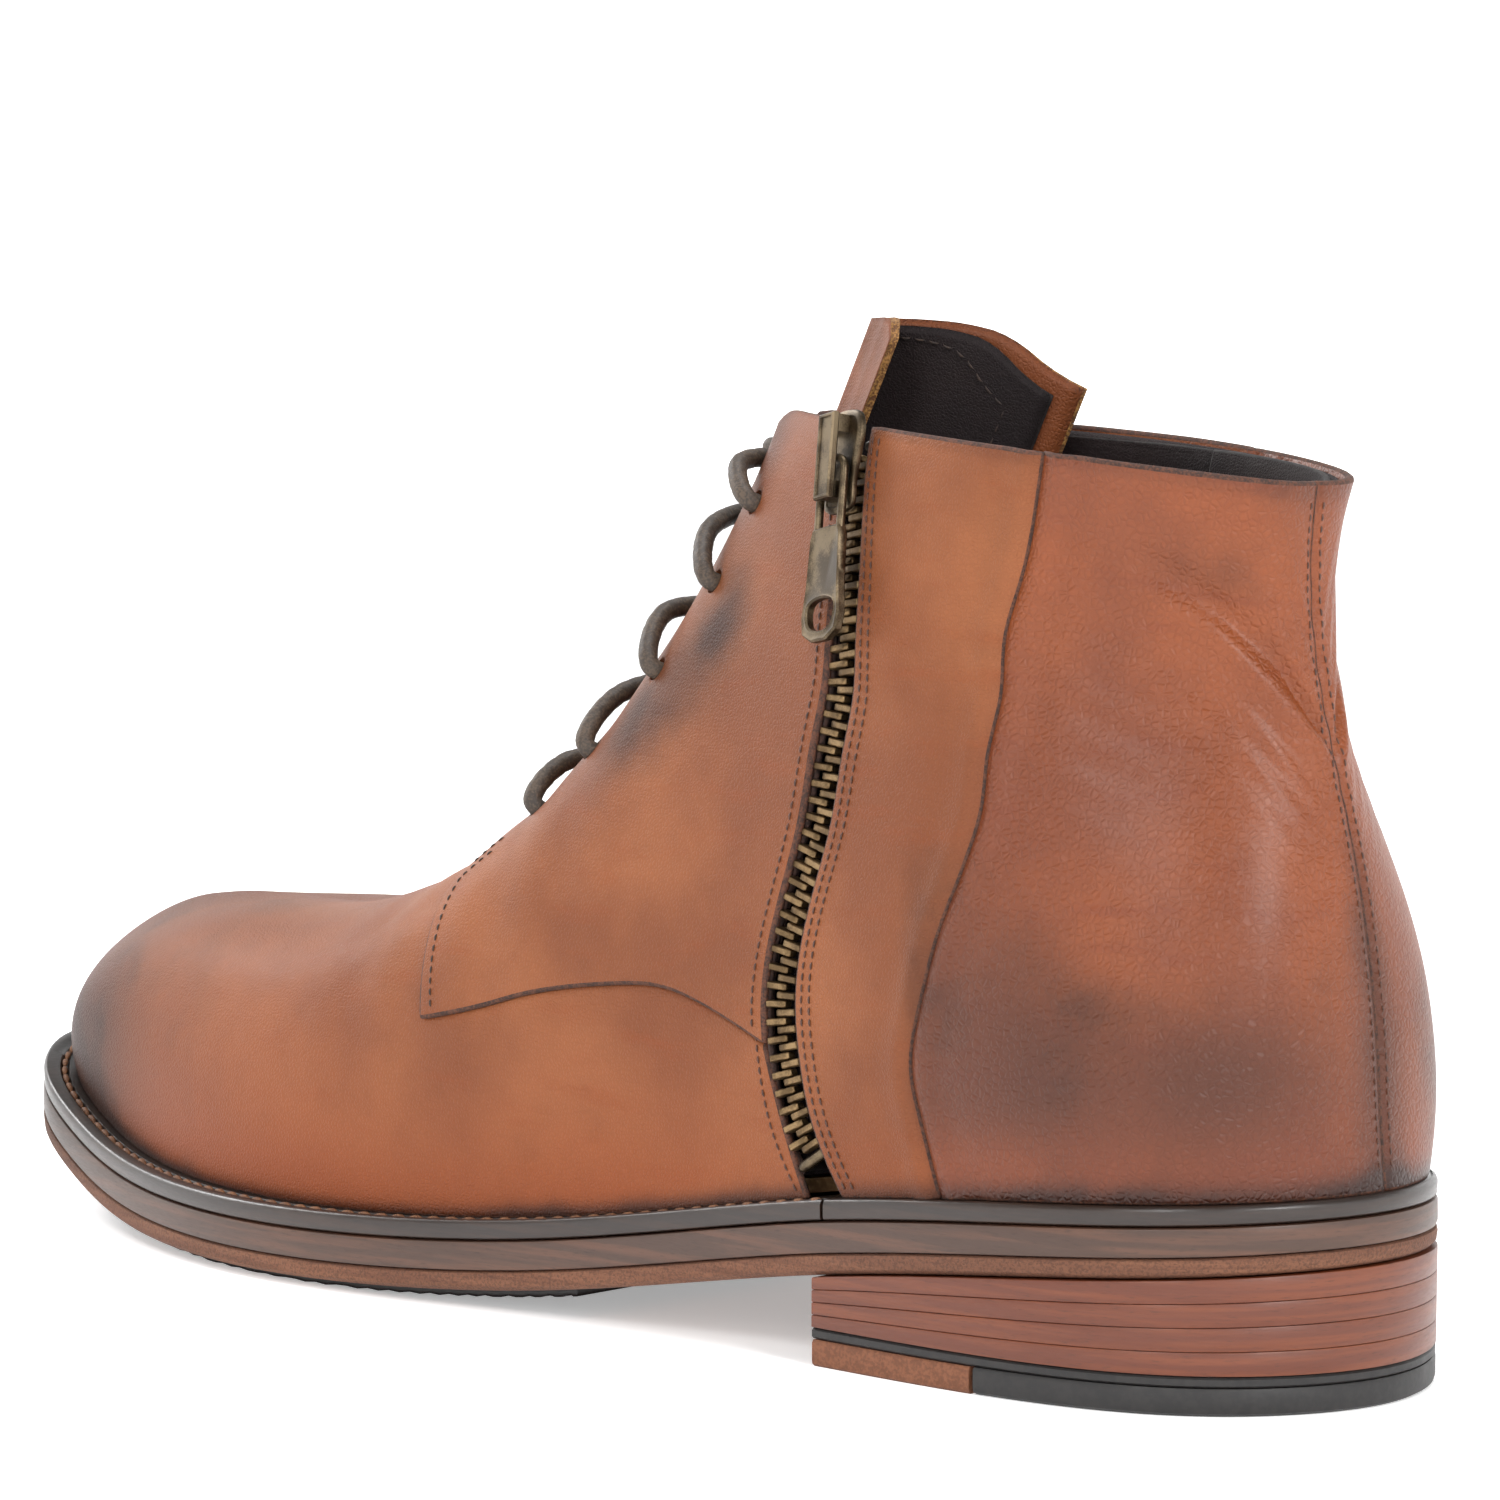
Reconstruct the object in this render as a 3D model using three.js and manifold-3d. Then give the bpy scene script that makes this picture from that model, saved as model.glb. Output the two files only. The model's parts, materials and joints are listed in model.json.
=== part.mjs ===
// Ankle boot for a right foot: laced derby front, zip on the inner side, stacked heel.
// Sizes are in millimetres. While the parts are made, x runs from the toe (0) to the heel (300),
// y points to the outer side of the foot and z is the height above the floor.
// At the end everything is moved so that the origin is the middle of the boot's footprint.
import * as THREE from 'three';
import Module from 'manifold-3d';

const wasm = await Module();
wasm.setup();

// ---------------------------------------------------------------- driving dimensions
const SOLE_LENGTH = 300;
const BREAST_X = 218.5; // front face of the heel

// Edge of the sole from above: inner side from toe to heel, then the outer side back to the toe.
const SOLE_EDGE = [
  [0, -1], [10, -20.5], [32, -32], [92, -48.5], [150, -43.5], [198, -39], [250, -39], [286, -28],
  [300, 0], [286, 28], [250, 40], [205, 38.5], [158, 46.5], [112, 54.5], [40, 36.5], [11, 20],
];
const INNER_EDGE_POINTS = 9;

// Underside of the outsole along the boot: toe spring, ball on the floor, rise to the heel seat.
const UNDERSIDE = [[0, 18.5], [40, 5.5], [85, 1.4], [110, 1.4], [160, 4.5], [BREAST_X, 14], [300, 21.5]];
const SOLE_THICK_FRONT = 11.5;
const SOLE_THICK_BREAST = 12;
const SOLE_THICK_REAR = 10.5;
const OUTSOLE_SHARE = 0.28; // share of the sole thickness, from below
const MIDSOLE_SHARE = 0.7; // top of the midsole

const TOP_LIFT_THICK = 4.3;
const HEEL_LAYER_TOP = 6;
const TOP_LIFT_JOINT_X = 251; // leather in front of this, rubber behind
const HEEL_LIFTS = 4;

// How far the feather line of the upper stands in from the sole edge, one value for each edge point.
const MARGIN = [6.5, 6.5, 6, 5.5, 3.5, 2, 1.5, 1.5, 1.5, 1.5, 1.5, 2, 3.5, 5.5, 6, 6.5];

// Shape of the upper over the first nine edge points. low is how far the lowest handle stands out from
// the feather line and above it; mid, high and top are places.
const UPPER = [
  { low: [2, 14], mid: [18, 0, 54], high: [28, 0, 56.5], top: [37.5, 0, 57.5] },
  { low: [5, 14], mid: [22, -15.5, 53], high: [41.5, -7, 57.5], top: [48.5, 0, 58.5] },
  { low: [4, 17], mid: [39.5, -29.5, 56.5], high: [70.5, -18, 60], top: [70, 0, 58.5] },
  { low: [2.5, 17], mid: [88, -42, 59], high: [103, -23, 63.5], top: [101.5, 0, 64] },
  { low: [1, 18.5], mid: [136, -44.5, 73], high: [152.5, -24, 92], top: [148, 0, 91.5] },
  { low: [-1, 22], mid: [195, -38, 86], high: [187.5, -17.5, 141.5], top: [176.5, 0, 146] },
  { low: [4, 26.5], mid: [245, -35, 89], high: [229, -28, 117.5], top: [234, -27, 142.5] },
  { low: [6.5, 26.5], mid: [282, -20, 87.5], high: [268, -8, 103], top: [277.5, -16, 137.5] },
  { low: [-4, 26.5], mid: [300, 0, 87], high: [278, 0, 94], top: [284, 0, 136.5] },
];
const OUTER_WIDENING = 0.7; // how much of the wider outer sole edge the upper follows
const TOP_FRONT = 5; // edge point below the front top corner of the shaft
const HEEL_BACK = 8; // edge point at the back of the heel
const ROUND = 16; // edge points all the way round

// Lines on the upper, as [height share, edge point] pairs: the zip and the seam behind it.
const ZIP_LINE = [
  [0.02, 5.4], [0.07, 5.345], [0.13, 5.29], [0.2, 5.25], [0.26, 5.235], [0.32, 5.26], [0.385, 5.33],
  [0.45, 5.41], [0.53, 5.475], [0.6, 5.535], [0.66, 5.553], [0.73, 5.577], [0.8, 5.598], [0.9, 5.619],
  [1, 5.6235],
];
const REAR_SEAM = [
  [0.02, 5.85], [0.115, 5.8], [0.18, 5.775], [0.26, 5.83], [0.34, 5.91], [0.44, 6.04], [0.51, 6.12],
  [0.58, 6.16], [0.67, 6.23], [0.74, 6.25], [0.83, 6.31], [1, 6.35],
];
// Lower edge of the quarters, as [edge point, height share]: it starts at the front corner.
const QUARTER_LOW = [
  [3.77, 0.355], [3.97, 0.35], [4.16, 0.348], [4.53, 0.326], [4.74, 0.306], [4.87, 0.284],
  [5.01, 0.256], [5.15, 0.222],
];
const OUTER_QUARTER_LOW = [
  [3.77, 0.355], [3.97, 0.352], [4.16, 0.35], [4.53, 0.33], [4.87, 0.3], [5.2, 0.26], [5.5, 0.228],
  [5.765, 0.205],
];
const FRONT_EDGE = [[3.77, 0.355], [3.72, 0.52], [3.68, 0.64]];

// Lacing, from the lowest pair to the top: ridge position, half distance between the two eyelets.
const EYELETS = [[3.82, 23], [4.06, 22], [4.36, 20.5], [4.62, 17], [4.83, 13.5]];
const FACING = [[3.74, 15], [3.9, 13], [4.2, 12], [4.5, 10], [4.75, 7], [4.95, 5]];
const LACE_WIDE = 3.2;
const HOLE_WIDE = 4.4;
const UNDER_FACING = -5.25; // where the lace runs between the quarter lining and the tongue
const OVER_FACING = 4.1;
const TUCKED = [[4.93, 14], [4.88, 20], [4.75, 24], [4.55, 24.5], [4.42, 24.5]]; // ends inside the shaft
const AGLET_LONG = 12;
const EYELET_WIDE = 6.6;

// Layers of the upper, as [outside, inside] offsets from the reference surface.
const VAMP_LAYER = [0, -1.6];
const QUARTER_LAYER = [0.7, -1];
const STRIP_LAYER = [0.4, -1.2];
const STIFFENER_LAYER = [-2.7, -3.3];
const LINING_LAYER = [-3.9, -4.7];
const THIN_LINING_LAYER = [-2.5, -3.2];
const TAPE_LAYER = [-1.9, -2.25];
const GUARD_LAYER = [-5.2, -6];
const TONGUE_LAYER = [-8.9, -9.9];
const TONGUE_LINING_LAYER = [-11, -11.6];
const BOTTOM_SHARE = 0.012; // the panels end this far above the feather line

const ZIP_OPENING = 4.3; // half width between the two leather edges
const TOOTH_PITCH = 2.7;
const TOOTH_LENGTH = 1.1;
const TOOTH_REACH = 1; // how far a tooth passes the middle of the zip
const CHAIN_HALF = 3.4;
const TOOTH_LAYER = [0.2, -2];
const TAPE_HALF = 13;
const SLIDER_LONG = 15.5;
const SLIDER_WIDE = 11.4;
// Underside of the slider above the leather, and height share where its travel ends.
const SLIDER_LEVEL = 1.95;
const TRAVEL_END = 0.6;
const PULL_LONG = 18;

// ---------------------------------------------------------------- splines
/** Smooth curve through `values` at `knots`. A closed one repeats its first value at the last knot. */
function spline(knots, values, closed = false) {
  const last = knots.length - 1;
  const size = values[0].length;
  const bend = values.map(() => new Array(size).fill(0));
  for (let pass = 0; pass < 60; pass += 1) {
    for (let i = closed ? 0 : 1; i < last; i += 1) {
      const back = i === 0 ? last - 1 : i - 1;
      const before = knots[back + 1] - knots[back];
      const after = knots[i + 1] - knots[i];
      for (let axis = 0; axis < size; axis += 1) {
        const slopeAfter = (values[i + 1][axis] - values[i][axis]) / after;
        const slopeBefore = (values[i][axis] - values[back][axis]) / before;
        const pull = before * bend[back][axis] + after * bend[i + 1][axis];
        bend[i][axis] = (6 * (slopeAfter - slopeBefore) - pull) / (2 * (before + after));
      }
      if (closed && i === 0) bend[last] = bend[0].slice();
    }
  }
  return (place) => {
    let i = 0;
    while (i < last - 1 && place > knots[i + 1]) i += 1;
    const step = knots[i + 1] - knots[i];
    const b = (place - knots[i]) / step;
    const a = 1 - b;
    return values[i].map((value, axis) => {
      const curve = (a ** 3 - a) * bend[i][axis] + (b ** 3 - b) * bend[i + 1][axis];
      return a * value + b * values[i + 1][axis] + (curve * step * step) / 6;
    });
  };
}

/** Straight interpolation in a list of [place, value] pairs. */
function along(pairs, place) {
  let i = 0;
  while (i < pairs.length - 2 && place > pairs[i + 1][0]) i += 1;
  const [[x0, y0], [x1, y1]] = [pairs[i], pairs[i + 1]];
  return y0 + ((y1 - y0) * (place - x0)) / (x1 - x0);
}

/** Even steps from `low` to `high`, both included. */
function steps(low, high, count) {
  return Array.from({ length: count + 1 }, (_, i) => low + ((high - low) * i) / count);
}

const vector = (list) => new THREE.Vector3(...list);

// ---------------------------------------------------------------- sole edge and heights
const knots = [0];
for (let i = 0; i < ROUND; i += 1) {
  const [a, b] = [SOLE_EDGE[i], SOLE_EDGE[(i + 1) % ROUND]];
  knots.push(knots[i] + Math.sqrt(Math.hypot(b[0] - a[0], b[1] - a[1])));
}
const fullTurn = knots[ROUND];
const edgeSpline = spline(knots, [...SOLE_EDGE, SOLE_EDGE[0]], true);
const underside = spline(UNDERSIDE.map((pair) => pair[0]), UNDERSIDE.map((pair) => [pair[1]]));

/** Spline parameter of an edge position from 0 to 16; positions beyond that wrap round. */
function knotAt(position) {
  const wrapped = ((position % ROUND) + ROUND) % ROUND;
  const i = Math.floor(wrapped);
  return knots[i] + (knots[i + 1] - knots[i]) * (wrapped - i);
}

/** Point on the sole edge moved inwards by `inset`, and the outward direction there. */
function edgeAt(position, inset = 0) {
  const k = knotAt(position);
  const [x, y] = edgeSpline(k);
  const ahead = edgeSpline((k + 0.01) % fullTurn);
  const behind = edgeSpline((k - 0.01 + fullTurn) % fullTurn);
  const out = new THREE.Vector2(ahead[1] - behind[1], behind[0] - ahead[0]).normalize();
  return { x: x - out.x * inset, y: y - out.y * inset, out };
}

const soleBottom = (x) => underside(x)[0];

function soleThickness(x) {
  return along([[0, SOLE_THICK_FRONT], [BREAST_X, SOLE_THICK_BREAST], [SOLE_LENGTH, SOLE_THICK_REAR]], x);
}

/** Height inside the sole: share 0 is its underside and share 1 its top, the welt. */
const soleHeight = (x, share) => soleBottom(x) + soleThickness(x) * share;

// ---------------------------------------------------------------- reference surface of the upper
const featherAt = (position) => {
  const share = ((position % ROUND) + ROUND) % ROUND;
  const i = Math.floor(share);
  const margin = MARGIN[i] + (MARGIN[(i + 1) % ROUND] - MARGIN[i]) * (share - i);
  const { x, y, out } = edgeAt(position, margin);
  return { point: new THREE.Vector3(x, y, soleHeight(x, 1)), out };
};

const rows = { low: [], mid: [], high: [], top: [] };
for (let i = 0; i < ROUND; i += 1) {
  const outer = i >= INNER_EDGE_POINTS;
  const source = UPPER[outer ? ROUND - i : i];
  const { point, out } = featherAt(i);
  const twin = featherAt(outer ? ROUND - i : i).point;
  const side = outer ? -1 : 1;
  const wider = outer ? 1 + (Math.abs(point.y / twin.y) - 1) * OUTER_WIDENING : 1;
  const [reach, rise] = source.low;
  rows.low.push([point.x + out.x * reach, point.y + out.y * reach, point.z + rise]);
  rows.mid.push([source.mid[0], source.mid[1] * side * wider, source.mid[2]]);
  rows.high.push([source.high[0], source.high[1] * side, source.high[2]]);
  rows.top.push([source.top[0], source.top[1] * side, source.top[2]]);
}
const closedRow = (row) => spline(knots, [...row, row[0]], true);
const lowRow = closedRow(rows.low);
const midRow = closedRow(rows.mid);
const highRow = closedRow(rows.high);
const ridgePlaces = [-5, -4, -3, -2, -1, 0, 1, 2, 3, 4, 5];
const ridgeKnots = ridgePlaces.map((i) => Math.sign(i) * knots[Math.abs(i)]);
const ridgeRow = spline(ridgeKnots, ridgePlaces.map((i) => rows.top[Math.abs(i)]));
const rimRow = spline(knots.slice(TOP_FRONT, 12), rows.top.slice(TOP_FRONT, 12));

/** Whether an edge position lies under the rim of the shaft rather than under the front ridge. */
const underRim = (k) => k >= knots[TOP_FRONT] && k <= knots[ROUND - TOP_FRONT];

/** Distance in edge points from the toe, the same on both sides of the boot. */
function fromToe(position) {
  const wrapped = ((position % ROUND) + ROUND) % ROUND;
  return Math.min(wrapped, ROUND - wrapped);
}

function topAt(position) {
  const k = knotAt(position);
  if (underRim(k)) return vector(rimRow(k));
  return vector(ridgeRow(knotAt(fromToe(position))));
}

/** Point of the reference surface: position round the sole edge, height share 0 to 1. */
function surfaceAt(position, share) {
  const k = knotAt(position);
  const rest = 1 - share;
  return featherAt(position).point.multiplyScalar(rest ** 4)
    .addScaledVector(vector(lowRow(k)), 4 * share * rest ** 3)
    .addScaledVector(vector(midRow(k)), 6 * share ** 2 * rest ** 2)
    .addScaledVector(vector(highRow(k)), 4 * share ** 3 * rest)
    .addScaledVector(topAt(position), share ** 4);
}

/** Outward normal of the reference surface. On the front ridge it stays in the middle plane. */
function normalAt(position, share) {
  if (share > 0.999 && !underRim(knotAt(position))) {
    const far = fromToe(position);
    const run = topAt(far + 0.1).sub(topAt(Math.max(far - 0.1, 0)));
    return new THREE.Vector3(-run.z, 0, run.x).normalize();
  }
  const high = Math.min(share + 0.01, 0.999);
  const low = Math.max(share - 0.01, 0);
  const up = surfaceAt(position, high).sub(surfaceAt(position, low));
  const level = Math.min(share, 0.98);
  const round = surfaceAt(position + 0.03, level).sub(surfaceAt(position - 0.03, level));
  return round.cross(up).normalize();
}

const offsetAt = (position, share, offset) =>
  surfaceAt(position, share).addScaledVector(normalAt(position, share), offset);

/** Mirrors an inner edge position to the outer side of the boot. */
const onSide = (position, outer) => (outer ? ROUND - position : position);

/** Surface place level with the ridge position `along the front` and `half` mm from the middle. */
function acrossFront(ridge, half, outer) {
  const base = topAt(ridge);
  const run = topAt(ridge + 0.02).sub(topAt(ridge - 0.02)).normalize();
  if (ridge > TOP_FRONT - 0.03) run.copy(topAt(TOP_FRONT - 0.01).sub(topAt(TOP_FRONT - 0.05)).normalize());
  const miss = (p, s, target) => {
    const point = surfaceAt(onSide(p, outer), s);
    return [point.clone().sub(base).dot(run), Math.abs(point.y) - target];
  };
  let [p, s] = [ridge, 0.97];
  for (const target of steps(half / 6, half, 5)) {
    for (let pass = 0; pass < 8; pass += 1) {
      const [f, g] = miss(p, s, target);
      const [fp, gp] = miss(p + 0.002, s, target).map((value, i) => (value - [f, g][i]) / 0.002);
      const [fs, gs] = miss(p, s - 0.002, target).map((value, i) => (value - [f, g][i]) / -0.002);
      const det = fp * gs - fs * gp;
      p -= (f * gs - fs * g) / det;
      s = Math.min(s - (fp * g - f * gp) / det, 1);
    }
  }
  return [p, s];
}

// ---------------------------------------------------------------- mesh helpers
/** One closed body from points and convex faces, lists of point indices all turning the same way. */
function solid(points, faces) {
  const merged = [];
  const seen = new Map();
  const slot = points.map((point) => {
    const key = point.toArray().map((value) => Math.round(value * 1e4)).join(' ');
    if (!seen.has(key)) {
      seen.set(key, merged.length / 3);
      merged.push(point.x, point.y, point.z);
    }
    return seen.get(key);
  });
  const triangles = [];
  for (const face of faces) {
    const ring = face.map((i) => slot[i]);
    for (let i = 1; i < ring.length - 1; i += 1) {
      const [a, b, c] = [ring[0], ring[i], ring[i + 1]];
      if (a !== b && b !== c && c !== a) triangles.push([a, b, c]);
    }
  }
  const at = (i) => new THREE.Vector3().fromArray(merged, i * 3);
  const volume = triangles.reduce((sum, [a, b, c]) => sum + at(a).dot(at(b).cross(at(c))), 0);
  const index = triangles.flatMap(([a, b, c]) => (volume < 0 ? [a, c, b] : [a, b, c]));
  const geometry = new THREE.BufferGeometry();
  geometry.setAttribute('position', new THREE.Float32BufferAttribute(merged, 3));
  geometry.setIndex(index);
  return geometry;
}

/** A body swept through rings with equally many points; `closed` joins the last ring to the first. */
function loft(rings, closed = false) {
  const size = rings[0].length;
  const points = rings.flat();
  const faces = [];
  const count = closed ? rings.length : rings.length - 1;
  for (let r = 0; r < count; r += 1) {
    const next = ((r + 1) % rings.length) * size;
    for (let i = 0; i < size; i += 1) {
      const j = (i + 1) % size;
      faces.push([r * size + i, r * size + j, next + j], [r * size + i, next + j, next + i]);
    }
  }
  if (!closed) {
    faces.push(rings[0].map((_, i) => size - 1 - i));
    faces.push(rings[0].map((_, i) => (rings.length - 1) * size + i));
  }
  return solid(points, faces);
}

/**
 * A sheet with thickness from two grids of points, the outside and the inside face. Edges that meet
 * another edge of the same grid are sewn; every open edge gets a wall.
 */
function sheet(outside, inside) {
  const [columns, height] = [outside.length, outside[0].length];
  const points = [...outside.flat(), ...inside.flat()];
  const shift = columns * height;
  const names = points.map((p) => p.toArray().map((value) => Math.round(value * 1e3)).join(' '));
  const faces = [];
  for (let c = 0; c < columns - 1; c += 1) {
    for (let r = 0; r < height - 1; r += 1) {
      const a = c * height + r;
      const b = a + height;
      const [d, e] = [b + 1, a + 1];
      faces.push([a, b, d], [a, d, e]);
    }
  }
  const directed = new Map();
  for (const face of faces) {
    face.forEach((from, i) => {
      const to = face[(i + 1) % 3];
      if (names[from] !== names[to]) directed.set(`${names[from]}|${names[to]}`, [from, to]);
    });
  }
  const walls = [];
  for (const [key, [from, to]] of directed) {
    const back = key.split('|').reverse().join('|');
    if (!directed.has(back)) walls.push([to, from, from + shift], [to, from + shift, to + shift]);
  }
  const under = faces.map(([a, b, c]) => [a + shift, c + shift, b + shift]);
  return solid(points, [...faces, ...under, ...walls]);
}

/** A panel of the upper: places is a grid of [position, share], layer its two offsets. */
function panel(places, [outside, inside]) {
  const grid = (offset) => places.map((column) => column.map(([p, s]) => offsetAt(p, s, offset)));
  return sheet(grid(outside), grid(inside));
}

/** Grid between two lines of [position, share] with the same number of points. */
function between(low, high, count) {
  return low.map(([p0, s0], i) => {
    const [p1, s1] = high[i];
    return steps(0, 1, count).map((share) => [p0 + (p1 - p0) * share, s0 + (s1 - s0) * share]);
  });
}

/** Points spread evenly along a line of [position, share]. */
function spread(line, count) {
  const length = [0];
  for (let i = 1; i < line.length; i += 1) {
    const run = surfaceAt(...line[i]).distanceTo(surfaceAt(...line[i - 1]));
    length.push(length[i - 1] + run);
  }
  const byPosition = line.map((place, i) => [length[i], place[0]]);
  const byShare = line.map((place, i) => [length[i], place[1]]);
  return steps(0, length.at(-1), count).map((run) => [along(byPosition, run), along(byShare, run)]);
}

/** Grid inside four lines; low and high run one way, start and end join them. */
function patch(low, high, start, end, columns, count) {
  const lines = [spread(low, columns), spread(high, columns), spread(start, count), spread(end, count)];
  const [bottom, top, left, right] = lines;
  const blend = (u, v, axis, c, r) => {
    const ruled = (1 - v) * bottom[c][axis] + v * top[c][axis] + (1 - u) * left[r][axis] + u * right[r][axis];
    const corners = (1 - u) * ((1 - v) * bottom[0][axis] + v * top[0][axis])
      + u * ((1 - v) * bottom[columns][axis] + v * top[columns][axis]);
    return ruled - corners;
  };
  const place = (u, v, c, r) => [0, 1].map((axis) => blend(u, v, axis, c, r));
  return steps(0, 1, columns).map((u, c) => steps(0, 1, count).map((v, r) => place(u, v, c, r)));
}

/** The same grid on the inner side, or mirrored to the outer side. */
function toSide(grid, outer) {
  if (!outer) return grid;
  return grid.map((column) => column.map(([p, s]) => [ROUND - p, s])).reverse();
}

// ---------------------------------------------------------------- manifold helpers
function toManifold(geometry) {
  return new wasm.Manifold(new wasm.Mesh({
    numProp: 3,
    vertProperties: new Float32Array(geometry.attributes.position.array),
    triVerts: new Uint32Array(geometry.index.array),
  }));
}

function fromManifold(body) {
  const mesh = body.getMesh();
  const geometry = new THREE.BufferGeometry();
  geometry.setAttribute('position', new THREE.BufferAttribute(new Float32Array(mesh.vertProperties), 3));
  geometry.setIndex(new THREE.BufferAttribute(new Uint32Array(mesh.triVerts), 1));
  return geometry;
}

/** The first geometry without the others. */
function cut(geometry, tools) {
  let body = toManifold(geometry);
  for (const tool of tools) body = body.subtract(toManifold(tool));
  return fromManifold(body);
}

/** All geometries joined into one body. */
function join(geometries) {
  return fromManifold(geometries.map(toManifold).reduce((sum, next) => sum.add(next)));
}

/** A box given by centre, three unit axes and its three sizes. */
function orientedBox(centre, axes, sizes) {
  const corner = (a, b, c) => centre.clone()
    .addScaledVector(axes[0], (a * sizes[0]) / 2)
    .addScaledVector(axes[1], (b * sizes[1]) / 2)
    .addScaledVector(axes[2], (c * sizes[2]) / 2);
  const ring = (a) => [corner(a, -1, -1), corner(a, 1, -1), corner(a, 1, 1), corner(a, -1, 1)];
  return loft([ring(-1), ring(1)]);
}

/** A round bar or tube section between two points. */
function bar(from, to, radius, sides = 10) {
  const axis = to.clone().sub(from).normalize();
  const first = Math.abs(axis.y) < 0.9 ? new THREE.Vector3(0, 1, 0) : new THREE.Vector3(1, 0, 0);
  const across = new THREE.Vector3().crossVectors(first, axis).normalize();
  const other = new THREE.Vector3().crossVectors(axis, across);
  const ring = (centre) => steps(0, 2 * Math.PI, sides).slice(0, -1).map((angle) => centre.clone()
    .addScaledVector(across, radius * Math.cos(angle))
    .addScaledVector(other, radius * Math.sin(angle)));
  return loft([ring(from), ring(to)]);
}

/** A flat ring between two points on its axis. */
function washer(from, to, innerRadius, outerRadius, sides = 10) {
  const axis = to.clone().sub(from).normalize();
  const across = new THREE.Vector3(0, 1, 0).cross(axis).normalize();
  const other = new THREE.Vector3().crossVectors(axis, across);
  const corner = (centre, radius, angle) => centre.clone()
    .addScaledVector(across, radius * Math.cos(angle))
    .addScaledVector(other, radius * Math.sin(angle));
  const rings = steps(0, 2 * Math.PI, sides).slice(0, -1).map((angle) => [
    corner(from, innerRadius, angle), corner(from, outerRadius, angle),
    corner(to, outerRadius, angle), corner(to, innerRadius, angle),
  ]);
  return loft(rings, true);
}

// ---------------------------------------------------------------- the boot
const boot = new THREE.Group();
boot.name = 'ankle_boot';

function add(name, geometry, color, roughness, metalness = 0) {
  const material = new THREE.MeshStandardMaterial({ color, roughness, metalness });
  geometry.computeVertexNormals();
  const mesh = new THREE.Mesh(geometry, material);
  mesh.name = name;
  boot.add(mesh);
}

const TAN = 0xb5713f;
const ORANGE_BROWN = 0xa8562a;
const SOLE_BROWN = 0x5f4334;
const HEEL_BROWN = 0x7d3f22;
const BLACK_RUBBER = 0x2b2725;
const DARK_LINING = 0x2d211d;
const RAW_LEATHER = 0xc79a62;
const ANTIQUE_BRASS = 0x7c6a48;
const LACE_BROWN = 0x43352b;

// ---------------------------------------------------------------- sole
const inner = steps(0, HEEL_BACK, 160).map((position) => edgeAt(position));
const outerHalf = steps(HEEL_BACK, ROUND, 160).map((position) => edgeAt(position)).reverse();

/** Half outline of the sole at x, moved in by `inset`. */
function sideAt(outer, x, inset) {
  const half = outer ? outerHalf : inner;
  const line = half.map(({ x: px, y: py, out }) => [px - out.x * inset, py - out.y * inset]);
  return along(line, x);
}

/** A layer of the sole between two heights that depend on x, from one x to another. */
function soleLayer(bottom, top, inset, from = inset + 0.2, to = SOLE_LENGTH - inset - 0.2, count = 22) {
  const easeBoth = (share) => (1 - Math.cos(Math.PI * share)) / 2;
  const easeEnd = (share) => Math.sin((Math.PI * share) / 2);
  const rounded = (share) => from + (to - from) * (from < 20 ? easeBoth(share) : easeEnd(share));
  const rings = steps(0, 1, count).map((share) => {
    const x = rounded(share);
    const [near, far] = [sideAt(false, x, inset), sideAt(true, x, inset)];
    return [[x, near, bottom(x)], [x, far, bottom(x)], [x, far, top(x)], [x, near, top(x)]].map(vector);
  });
  return loft(rings);
}

const atShare = (share, lift = 0) => (x) => soleHeight(x, share) + lift;
add('outsole', soleLayer(atShare(0), atShare(OUTSOLE_SHARE), 0), 0x8c5a41, 0.8);
add('midsole', soleLayer(atShare(OUTSOLE_SHARE, 0.1), atShare(MIDSOLE_SHARE), 0.1), SOLE_BROWN, 0.5);
const halfSoleBottom = (x) => Math.max(soleBottom(x) - 1.4, 0);
const halfSoleTop = (x) => soleBottom(x) - 0.1;
add('half_sole', soleLayer(halfSoleBottom, halfSoleTop, 4, 24, 165, 16), BLACK_RUBBER, 0.85);

/** A band along the sole edge between two positions, from its outer inset to its inner inset. */
function edgeBand(from, to, outset, inset, bottom, top, count) {
  const rings = steps(from, to, count).map((position) => {
    const [a, b] = [edgeAt(position, outset), edgeAt(position, inset)];
    const outside = [[a.x, a.y, bottom(a.x)], [a.x, a.y, top(a.x)]];
    const inside = [[b.x, b.y, top(b.x)], [b.x, b.y, bottom(b.x)]];
    return [...outside, ...inside].map(vector);
  });
  return loft(rings);
}
const WELT_END = 5.42;
const weltBottom = atShare(MIDSOLE_SHARE, 0.25);
add('welt', edgeBand(-WELT_END, WELT_END, 0.3, 11, weltBottom, atShare(1), 36), SOLE_BROWN, 0.55);
const rand = edgeBand(WELT_END + 0.01, ROUND - WELT_END - 0.01, 0.2, 8, weltBottom, atShare(1), 22);
add('heel_rand', rand, SOLE_BROWN, 0.5);

const heelPiece = (bottom, top, from, to = SOLE_LENGTH - 0.3) => soleLayer(bottom, top, 0.1, from, to, 10);
const liftHeight = (x, share) => HEEL_LAYER_TOP + 0.1 + (soleBottom(x) - 0.1 - HEEL_LAYER_TOP - 0.1) * share;
for (let i = 0; i < HEEL_LIFTS; i += 1) {
  const bottom = (x) => liftHeight(x, i / HEEL_LIFTS) + (i > 0 ? 0.1 : 0);
  const top = (x) => liftHeight(x, (i + 1) / HEEL_LIFTS);
  add(`heel_lift_${i + 1}`, heelPiece(bottom, top, BREAST_X), HEEL_BROWN, 0.45);
}
const blackLayer = heelPiece(() => TOP_LIFT_THICK + 0.1, () => HEEL_LAYER_TOP, BREAST_X);
add('heel_black_layer', blackLayer, BLACK_RUBBER, 0.7);
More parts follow.
